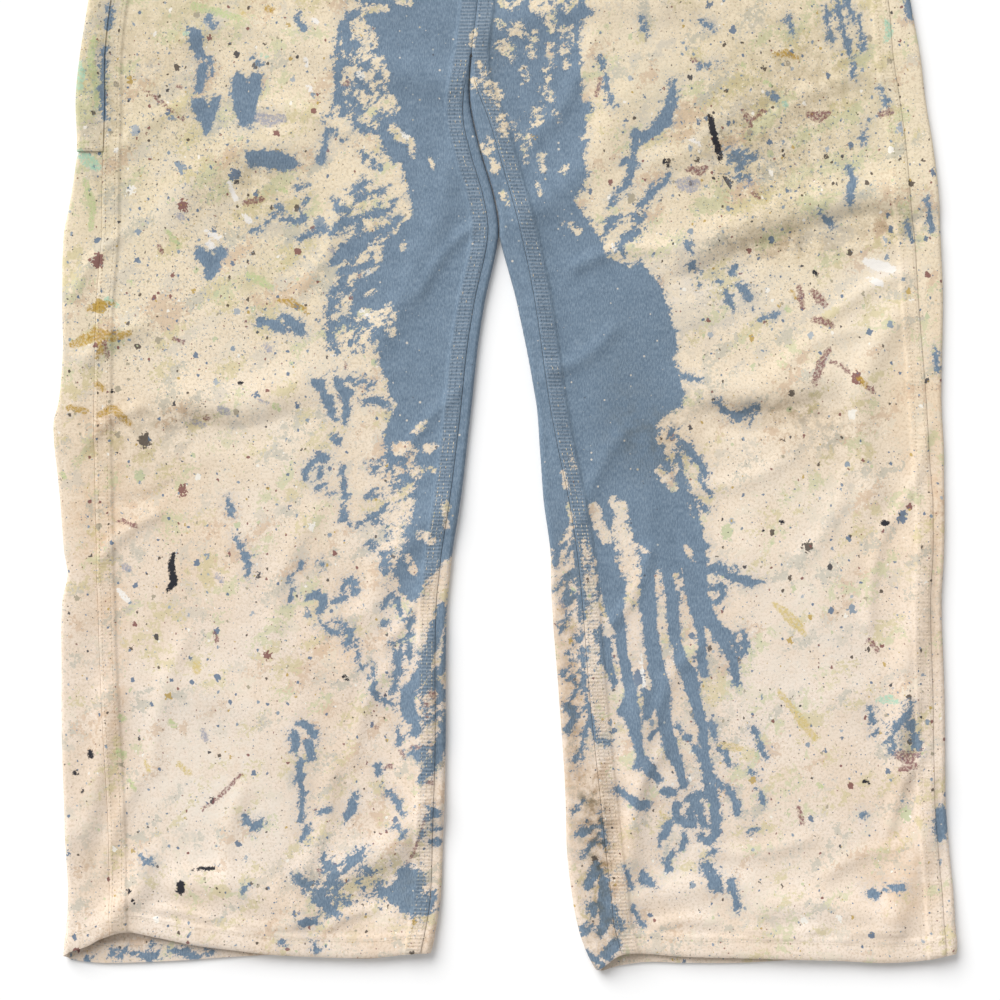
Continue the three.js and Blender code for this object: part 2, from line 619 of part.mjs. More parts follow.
function wireLoop(points, level, wire) {
  const count = points.length;
  const positions = [];
  points.forEach((point, i) => {
    const before = points[(i + count - 1) % count];
    const after = points[(i + 1) % count];
    const along = new THREE.Vector2().subVectors(after, before).normalize();
    for (let k = 0; k < WIRE_SIDES; k += 1) {
      const angle = (2 * Math.PI * k) / WIRE_SIDES;
      const sideways = (wire / 2) * Math.cos(angle);
      const rise = (wire / 2) * Math.sin(angle);
      positions.push(point.x + along.y * sideways, point.y - along.x * sideways, level + rise);
    }
  });
  const index = [];
  for (let i = 0; i < count; i += 1) {
    const next = (i + 1) % count;
    for (let k = 0; k < WIRE_SIDES; k += 1) {
      const turn = (k + 1) % WIRE_SIDES;
      const [a, b] = [i * WIRE_SIDES + k, i * WIRE_SIDES + turn];
      const [d, e] = [next * WIRE_SIDES + turn, next * WIRE_SIDES + k];
      index.push(a, d, b, a, e, d);
    }
  }
  const geometry = new THREE.BufferGeometry();
  geometry.setAttribute("position", new THREE.Float32BufferAttribute(positions, 3));
  geometry.setIndex(index);
  return geometry;
}

function toSolid(geometry) {
  const bare = geometry.clone();
  bare.deleteAttribute("normal");
  bare.deleteAttribute("uv");
  const merged = mergeVertices(bare, 1e-4);
  return new wasm.Manifold(new wasm.Mesh({
    numProp: 3,
    vertProperties: new Float32Array(merged.attributes.position.array),
    triVerts: new Uint32Array(merged.index.array),
  }));
}

function toGeometry(solid) {
  const mesh = solid.getMesh();
  const geometry = new THREE.BufferGeometry();
  geometry.setAttribute("position", new THREE.Float32BufferAttribute(mesh.vertProperties, 3));
  geometry.setIndex(Array.from(mesh.triVerts));
  return geometry;
}

// The slide: a wire frame with a round eye below for the button, and the bar the strap turns on
const EYE_RADIUS = SHANK / 2 + 0.3 + SLIDE_WIRE / 2;
const FRAME_HALF = STRAP_WIDTH / 2 + 3;
const FRAME_TOP = 7;

function makeSlide(centreX) {
  const barUp = SLIDE_BAR_UP - BIB_BUTTON_UP;
  const right = [];
  for (const t of steps(6)) {
    const angle = -Math.PI / 2 + t * Math.PI * 0.72;
    right.push([EYE_RADIUS * Math.cos(angle), EYE_RADIUS * Math.sin(angle)]);
  }
  right.push([3.6, 7], [6, 11], [12, 17], [FRAME_HALF - 2, 23], [FRAME_HALF, 27]);
  right.push([FRAME_HALF, barUp + FRAME_TOP - 3], [FRAME_HALF - 3, barUp + FRAME_TOP]);
  const left = right.slice(1).reverse().map(([x, y]) => [-x, y]);
  const loop = [...right, ...left].map(([x, y]) => new THREE.Vector2(centreX + x, BIB_BUTTON_UP + y));
  const frame = toSolid(wireLoop(loop, SLIDE_Z, SLIDE_WIRE));
  const bar = new THREE.CylinderGeometry(SLIDE_WIRE / 2, SLIDE_WIRE / 2, FRAME_HALF * 2, WIRE_SIDES);
  bar.rotateZ(Math.PI / 2);
  bar.translate(centreX, SLIDE_BAR_UP, SLIDE_Z);
  return toGeometry(frame.add(toSolid(bar)));
}

// Shank button: a narrow stem and a shallow domed head
const BUTTON_SIDES = 16;

function makeButton(x, up, seatHeight, shankHeight) {
  const profile = [
    [0, 0], [SHANK / 2, 0], [SHANK / 2, shankHeight], [BUTTON_HEAD / 2 - 0.6, shankHeight],
    [BUTTON_HEAD / 2, shankHeight + 0.8], [BUTTON_HEAD / 2 - 1.2, shankHeight + 1.8],
    [BUTTON_HEAD / 4, shankHeight + BUTTON_HEAD_HEIGHT], [0, shankHeight + BUTTON_HEAD_HEIGHT],
  ].map(([radius, height]) => new THREE.Vector2(radius, height));
  const button = new THREE.LatheGeometry(profile, BUTTON_SIDES);
  button.rotateX(Math.PI / 2);
  button.translate(x, up, seatHeight);
  return toGeometry(toSolid(button));
}

for (const hand of [-1, 1]) {
  const wearer = hand < 0 ? "right" : "left";
  const leg = hand < 0 ? rightLeg : leftLeg;
  const centreX = hand * SLIDE_CENTRE;
  addPiece(`strap_${wearer}`, makeStrap(hand), CANVAS);
  addPiece(`slide_${wearer}`, makeSlide(centreX), NICKEL);
  const seat = bibHeight(centreX, BIB_BUTTON_UP) + CLOTH + SEAM_GAP;
  const stem = SLIDE_Z + SLIDE_WIRE / 2 + SEAM_GAP - seat;
  addPiece(`bib_button_${wearer}`, makeButton(centreX, BIB_BUTTON_UP, seat, stem), NICKEL);
  for (const { name, up, inset } of SIDE_BUTTONS) {
    const x = leg.outseam(up) - hand * inset;
    const ground = frontHeight(leg, x, up) + (inset < FELL_WIDTH || up > BAND_BOTTOM ? FELL_CLOTH : CLOTH);
    addPiece(`${name}_${wearer}`, makeButton(x, up, ground + SEAM_GAP * 2, SHANK_HEIGHT), NICKEL);
  }
}

// The origin goes to the middle of the garment's outline, on the surface it lies on
const bounds = new THREE.Box3().setFromObject(garment);
const middle = bounds.getCenter(new THREE.Vector3());
garment.position.set(-middle.x, -middle.y, -bounds.min.z);

export default garment;
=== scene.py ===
import math
import bpy
import numpy as np
from mathutils.bvhtree import BVHTree
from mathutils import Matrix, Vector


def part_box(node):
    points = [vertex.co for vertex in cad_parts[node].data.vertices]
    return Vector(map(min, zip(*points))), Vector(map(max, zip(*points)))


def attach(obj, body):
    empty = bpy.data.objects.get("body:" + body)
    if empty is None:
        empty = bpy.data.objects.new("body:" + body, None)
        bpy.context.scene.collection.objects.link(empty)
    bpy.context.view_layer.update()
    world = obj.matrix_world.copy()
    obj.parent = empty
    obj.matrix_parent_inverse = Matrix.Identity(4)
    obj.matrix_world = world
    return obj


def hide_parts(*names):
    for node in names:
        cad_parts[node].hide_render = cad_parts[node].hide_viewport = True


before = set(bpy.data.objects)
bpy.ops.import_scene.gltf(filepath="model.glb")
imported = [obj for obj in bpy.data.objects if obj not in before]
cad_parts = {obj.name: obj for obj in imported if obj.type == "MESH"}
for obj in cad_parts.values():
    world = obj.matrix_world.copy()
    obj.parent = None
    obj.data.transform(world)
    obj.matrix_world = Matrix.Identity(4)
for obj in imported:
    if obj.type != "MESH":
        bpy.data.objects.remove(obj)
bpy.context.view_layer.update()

# The two legs as they lie, each a flat back panel of canvas under a front panel that stands a little
# off it at the side folds and the hems. The garment lies flat, so a place on it is x across and up from
# the hem line, in millimetres; the frame's bib and waistband say where the zero lies.
MM = 0.001
MM_PER_PIXEL = 0.76
PHOTO_MIDDLE_X = 500
PHOTO_HEM_LINE_Y = 950
BIB_HALF_AT_WAIST = 152
BAND_BOTTOM = 1000
ORIGIN_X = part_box("bib")[0][0] / MM + BIB_HALF_AT_WAIST
ORIGIN_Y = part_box("waistband")[0][1] / MM - BAND_BOTTOM
# Each leg's outline in columns of up, side fold, outseam, inner fold and, where it has rolled onto
# the top, inseam
RIGHT_LEG = (
    (0, -331, -295, -52), (38, -328, -296, -45), (90, -330, -297, -43), (152, -332, -300, -41),
    (228, -333, -304, -41), (266, -332, -305, -40), (285, -328, -306, -38), (304, -331, -306, -36),
    (342, -334, -307, -30), (399, -339, -308, -23), (418, -335, -308, -21), (456, -332, -307, -17),
    (494, -332, -306, -11), (543, -331, -302, -1), (570, -326, -302, -4), (608, -321, -301, -15),
    (646, -322, -300, -23), (678, -319, -300, -22), (722, -312, -295, -17), (860, -288, -269, -8),
    (1000, -260, -242, 0), (1040, -256, -238, 0),
)
LEFT_LEG = (
    (0, 346, 343, 73, 92), (12, 346, 343, 66, 89), (25, 345, 342, 60, 86), (45, 344, 341, 55, 84),
    (76, 341, 338, 51, 80), (114, 338, 335, 50, 76), (190, 337, 334, 45, 68), (266, 335, 331, 39, 62),
    (304, 337, 330, 38, 58), (342, 337, 328, 33, 52), (380, 337, 325, 30, 44), (418, 335, 323, 27, 37),
    (494, 336, 317, 12, 26), (543, 334, 314, -1, 16), (570, 333, 311, -4, 9), (608, 329, 308, -15, -2),
    (646, 323, 303, -23, -12), (678, 319, 298, -22, -17), (722, 311, 294, -17, -17),
    (860, 286, 268, -8, -8), (1000, 260, 242, 0, 0), (1040, 256, 238, 0, 0),
)
CLOTH = 1.4
SEAM_GAP = 0.3
MIN_STRIP = 3
LEGS_MEET = 543
CROTCH = 678
CROTCH_STEP = 3
BAND_TOP = 1040


def smooth(t):
    t = np.clip(t, 0.0, 1.0)
    return t * t * (3 - 2 * t)


def read(rows, column, at):
    """A column of a table whose first column is the height or place, eased from row to row."""
    rows = np.asarray(rows, float)
    key, value = rows[:, 0], rows[:, column]
    last = len(rows) - 1
    at = np.clip(np.asarray(at, float), key[0], key[-1])
    i = np.clip(np.searchsorted(key, at, side="left") - 1, 0, last - 1)
    before = np.maximum(np.arange(last + 1) - 1, 0)
    after = np.minimum(np.arange(last + 1) + 1, last)
    slope = (value[after] - value[before]) / (key[after] - key[before])
    span = key[i + 1] - key[i]
    t = (at - key[i]) / span
    t2, t3 = t * t, t * t * t
    return (
        (2 * t3 - 3 * t2 + 1) * value[i]
        + (t3 - 2 * t2 + t) * span * slope[i]
        + (3 * t2 - 2 * t3) * value[i + 1]
        + (t3 - t2) * span * slope[i + 1]
    )


class Leg:
    """One leg's outline; hand is -1 on the wearer's right and +1 on the wearer's left."""

    def __init__(self, rows, hand):
        self.rows, self.hand = rows, hand

    def side(self, up):
        return read(self.rows, 1, up)

    def outseam(self, up):
        limit = self.side(up) - self.hand * (MIN_STRIP + 6)
        return self.hand * np.minimum(self.hand * read(self.rows, 2, up), self.hand * limit)

    def inner(self, up):
        shared = read(RIGHT_LEG, 3, up) + self.hand * SEAM_GAP / 2
        return np.where(up > LEGS_MEET, shared, read(self.rows, 3, up))

    def inseam(self, up):
        """The inseam up to the crotch; above it the front's edge goes over to the rise seam."""
        limit = self.inner(up) + self.hand * (0.8 + (MIN_STRIP + 4.2) * smooth((CROTCH - up) / 60))
        seam = limit
        if self.hand > 0:
            seam = limit + (read(self.rows, 4, up) - limit) * smooth((CROTCH - up) / 60)
        seam = self.hand * np.maximum(self.hand * seam, self.hand * limit)
        joined = np.clip((up - CROTCH) / CROTCH_STEP, 0, 1)
        return seam * (1 - joined) + (self.inner(up) - self.hand * SEAM_GAP) * joined


right_leg = Leg(RIGHT_LEG, -1)
left_leg = Leg(LEFT_LEG, 1)
# How far each hem's edge lies above or below the hem line: across, lift
FRONT_HEM = (
    (-331, -1.5), (-312, 4.6), (-302, 9.9), (-284, 15), (-262, 11.4), (-233, 5.3), (-204, 1.5),
    (-170, -2.4), (-100, -4.6), (-52, -1), (73, -13), (90, -2.5), (102, -0.8), (137, -3.5),
    (203, -5.3), (261, -7), (290, -8.4), (320, -6.5), (346, -1),
)
BACK_HEM = (
    (-331, -6), (-302, -9.1), (-248, -7.6), (-204, -4.6), (-160, -3), (-100, -6), (-52, -1),
    (73, -15.6), (90, -11.4), (112, -8.4), (137, -9.1), (182, -9.1), (228, -6.8), (290, -7), (346, -3),
)
HEM_CLOTH = 2.8
HEM_DEPTH = 15
HEM_BEND_REACH = 80


def hem_lift(table, x, up):
    return read(table, 1, x) * (1 - smooth(up / HEM_BEND_REACH))


# The folds: from x, from up, to x, to up, sideways bow, reach and rise
FOLDS = (
    (-226, 397, -168, 400, -6, 11, -2.4), (-232, 418, -160, 426, -8, 16, 3.6),
    (-312, 452, -280, 470, 3, 9, 3.2), (-296, 190, -318, 92, 4, 10, 3),
    (-270, 62, -292, 18, 5, 12, 4.5), (-238, 50, -158, 34, 6, 14, 3.4),
    (-116, 62, -58, 104, -5, 13, 4.2), (-92, 40, -66, 66, 3, 12, -2.2),
    (-62, 128, -58, 232, -4, 14, 3.6), (-100, 260, -50, 330, 6, 12, 2.6),
    (-200, 300, -120, 210, -14, 18, 2.4), (-240, 200, -150, 150, 10, 20, 2.2),
    (-250, 560, -170, 610, 10, 18, 2.6), (-90, 470, -40, 590, -8, 13, 2.4),
    (140, 506, 276, 552, 8, 11, -2.6), (150, 530, 290, 574, 8, 15, 4),
    (276, 552, 334, 553, 2, 9, -1.8), (165, 404, 240, 412, -4, 10, -2.4),
    (160, 426, 236, 434, -6, 15, 3), (298, 476, 282, 352, -18, 12, 3),
    (316, 302, 308, 220, 4, 11, 3.4), (309, 190, 304, 140, -4, 10, 4.2),
    (326, 130, 300, 40, 6, 13, 3.4), (108, 42, 182, 50, 4, 11, 2.6), (200, 36, 296, 30, 5, 11, 2.8),
    (96, 60, 104, 190, -5, 10, 3.6), (76, 210, 130, 130, 6, 13, 3), (110, 330, 160, 240, -10, 16, 2.6),
    (190, 300, 260, 200, 14, 20, 2.4), (20, 560, 90, 640, -10, 16, 2.8), (-150, 690, -40, 660, -6, 15, 3),
    (0, 700, 120, 720, 8, 16, 3), (-250, 820, -150, 780, 8, 20, 3), (130, 800, 240, 850, -8, 20, 3.2),
    (-120, 930, -60, 850, 6, 18, 2.4), (60, 900, 110, 960, 6, 18, 2.4),
)
LAYER_HEIGHT = 3.2
EDGE_LOFT = 1.8
EDGE_LOFT_REACH = 24
CROTCH_EASE = 60
HEM_LOFT = 3.6
HEM_LOFT_REACH = 70
ROLLED_SEAM_RISE = 2.6
ROLLED_SEAM_REACH = 13


def bell(distance, reach):
    return np.exp(-((distance / reach) ** 2))


def fold_rise(folds, x, up):
    """Height that a table of folds adds at the given places."""
    height = np.zeros(np.broadcast(x, up).shape)
    for from_x, from_up, to_x, to_up, bow, reach, rise in folds:
        run_x, run_up = to_x - from_x, to_up - from_up
        length = math.hypot(run_x, run_up)
        along = ((x - from_x) * run_x + (up - from_up) * run_up) / length**2
        across = ((up - from_up) * run_x - (x - from_x) * run_up) / length
        on_fold = np.clip(along, 0, 1)
        sideways = across - bow * 4 * on_fold * (1 - on_fold)
        past = (along - on_fold) * length
        height += rise * bell(sideways, reach) * bell(past, reach * 1.5)
    return height


def front_height(leg, x, up):
    """Underside of the front cloth, as the frame's solids have it."""
    below = smooth((CROTCH - up) / CROTCH_EASE)
    height = LAYER_HEIGHT + EDGE_LOFT * bell(leg.side(up) - x, EDGE_LOFT_REACH)
    height = height + below * EDGE_LOFT * bell(leg.inner(up) - x, EDGE_LOFT_REACH)
    height = height + HEM_LOFT * (1 - smooth(up / HEM_LOFT_REACH))
    if leg.hand > 0:
        height = height + below * ROLLED_SEAM_RISE * bell(leg.inseam(up) - x, ROLLED_SEAM_REACH)
    return np.maximum(height + fold_rise(FOLDS, x, up), LAYER_HEIGHT - 1)


# Lesser creases, which only the cloth itself is fine enough to show
CREASES = (
    (-300, 300, -262, 330, 4, 5, 1.1), (-290, 340, -250, 352, -3, 4, -0.9),
    (-310, 388, -276, 410, 5, 5, 1.2), (-322, 500, -290, 540, 4, 5, 1),
    (-150, 505, -122, 560, -5, 6, 0.9), (-214, 520, -186, 590, 6, 6, -0.9),
    (-262, 140, -240, 232, 7, 7, 0.9), (-300, 60, -276, 128, 3, 6, 1), (-150, 60, -128, 132, -5, 7, 1.1),
    (-206, 60, -196, 118, 5, 7, 0.8), (-110, 150, -86, 214, 5, 6, 1), (-84, 236, -56, 286, -4, 5, 1.1),
    (-170, 250, -140, 330, 8, 8, 0.8), (-70, 380, -36, 420, 3, 5, 0.9), (-60, 500, -22, 548, 4, 5, 1),
    (-176, 640, -120, 622, 5, 7, 1), (-286, 610, -236, 640, 6, 7, 0.9), (-240, 690, -180, 700, 5, 8, 0.9),
    (-130, 22, -96, 34, 3, 4, 1.2), (-196, 20, -150, 26, -3, 4, 0.9), (-256, 24, -222, 22, 2, 4, 1),
    (100, 96, 122, 150, 5, 5, 1), (86, 250, 112, 300, -4, 5, 1.1), (120, 180, 150, 230, 6, 6, 0.9),
    (64, 330, 92, 390, 5, 6, 0.9), (152, 352, 214, 372, -6, 7, 0.9), (212, 440, 270, 470, 7, 7, 0.9),
    (230, 300, 262, 360, -6, 7, 0.8), (280, 250, 292, 320, 4, 5, 1), (300, 330, 322, 392, -4, 5, 1.1),
    (296, 96, 320, 150, 4, 5, 1.1), (250, 60, 300, 78, 4, 6, 0.9), (160, 74, 230, 84, -4, 6, 0.8),
    (120, 22, 160, 26, 3, 4, 1), (190, 20, 240, 22, -3, 4, 0.9), (262, 18, 300, 20, 2, 4, 1),
    (40, 440, 84, 470, -5, 6, 1), (60, 520, 130, 532, 6, 6, 1.1), (120, 600, 180, 640, -7, 8, 0.9),
    (200, 620, 262, 660, 8, 8, 1), (250, 480, 306, 512, 5, 6, 1), (30, 620, 70, 690, -5, 7, 0.9),
    (-200, 760, -120, 730, 6, 8, 1), (120, 740, 200, 764, 6, 8, 1), (-220, 880, -150, 900, 5, 8, 1),
    (150, 880, 214, 930, -6, 8, 1), (-60, 960, -30, 900, 4, 7, 1), (30, 840, 60, 900, -5, 8, 0.9),
)
FELL_CLOTH = 2.4
FELL_WIDTH = 12
PUCKER_PITCH = 7.5
HEM_ROPE_PITCH = 12
LATTICE = np.random.default_rng(5).random((97, 97))


def unevenness(x, up, size):
    """Soft random swells of about the given size, from -1 to 1."""
    gx, gy = x / size + 31.7, up / size + 17.3
    ix, iy = np.floor(gx).astype(int), np.floor(gy).astype(int)
    fx, fy = smooth(gx - ix), smooth(gy - iy)

    def corner(a, b):
        return LATTICE[(ix + a) % 97, (iy + b) % 97]

    low = corner(0, 0) * (1 - fx) + corner(1, 0) * fx
    high = corner(0, 1) * (1 - fx) + corner(1, 1) * fx
    return 2 * (low * (1 - fy) + high * fy) - 1


def fine_height(leg, x, up):
    """Creases, seam puckers and the cloth's unevenness, on top of the solids' own form."""
    height = 1.5 * fold_rise(CREASES, x, up)
    height = height + 0.6 * unevenness(x, up, 58) + 0.36 * unevenness(x, up * 0.8, 23)
    height = height + 0.14 * unevenness(x + 40, up, 9)
    for seam in (leg.outseam(up), leg.inseam(up)):
        across = (x - seam) * np.sign(-leg.hand * (x - seam) + 1e-9)
        near = bell(np.abs(x - seam) - FELL_WIDTH * 0.6, 9)
        phase = up / PUCKER_PITCH + 0.35 * unevenness(x * 0 + 7, up, 26) + across * 0.01
        height = height + 0.26 * near * np.sin(2 * np.pi * phase) * (0.6 + 0.4 * unevenness(x, up, 31))
    roped = bell(up - HEM_DEPTH * 0.5, HEM_DEPTH * 0.8)
    height = height + 0.45 * roped * np.sin(2 * np.pi * (x + 0.7 * up) / HEM_ROPE_PITCH)
    return height


# The paint on the cloth. Blue house paint was spilt down the insides of both thighs and ran on in
# drips. Its body is drawn as outlines, its drips and dabs as strokes and the bare cloth inside it as
# gaps, judged in photo pixels; they become signed distances in millimetres, roughened later.
BLUE_ON_RIGHT_LEG = (
    (364, -30), (372, -70), (388, -96), (404, -120), (422, -96), (440, -130), (456, -104), (480, -70),
    (480, 120), (500, 235), (520, 240), (520, 400), (480, 540), (456, 548), (440, 568), (426, 582),
    (421, 596), (412, 601), (402, 594), (396, 574), (396, 556), (404, 540), (410, 520), (412, 500),
    (396, 492), (386, 470), (384, 440), (390, 416), (398, 404), (390, 396), (386, 380), (380, 366),
    (376, 342), (364, 330), (354, 320), (350, 300), (354, 284), (374, 272), (382, 262), (384, 242),
    (398, 234), (400, 222), (413, 218), (410, 196), (405, 178), (402, 166), (392, 160), (384, 150),
    (376, 134), (378, 116), (398, 112), (398, 104), (384, 96), (390, 80), (384, 60), (370, 54), (378, 44),
    (376, 34), (364, 22), (362, 4), (350, -6), (352, -20),
)
BLUE_ON_LEFT_LEG = (
    (470, -70), (470, 120), (490, 235), (512, 320), (530, 470), (540, 540), (554, 550), (561, 539),
    (568, 526), (572, 518), (577, 548), (582, 541), (590, 541), (596, 552), (622, 560), (640, 566),
    (660, 566), (690, 566), (700, 556), (694, 530), (686, 500), (682, 480), (668, 458), (658, 444),
    (656, 428), (664, 415), (680, 408), (684, 396), (680, 378), (672, 358), (678, 348), (674, 330),
    (666, 304), (660, 284), (648, 270), (640, 260), (630, 268), (618, 261), (606, 258), (602, 244),
    (590, 224), (578, 208), (575, 199), (582, 188), (587, 176), (583, 158), (588, 140), (585, 118),
    (594, 108), (582, 102), (581, 80), (579, 40), (582, 20), (592, 14), (586, 4), (590, -30), (578, -58),
    (560, -84), (544, -66), (526, -100), (508, -80), (492, -110),
)
BLUE_PATCHES = (
    ((376, 884), (396, 882), (398, 866), (420, 866), (426, 878), (424, 890), (435, 902), (430, 913),
     (416, 917), (404, 910), (390, 902), (378, 898)),
)
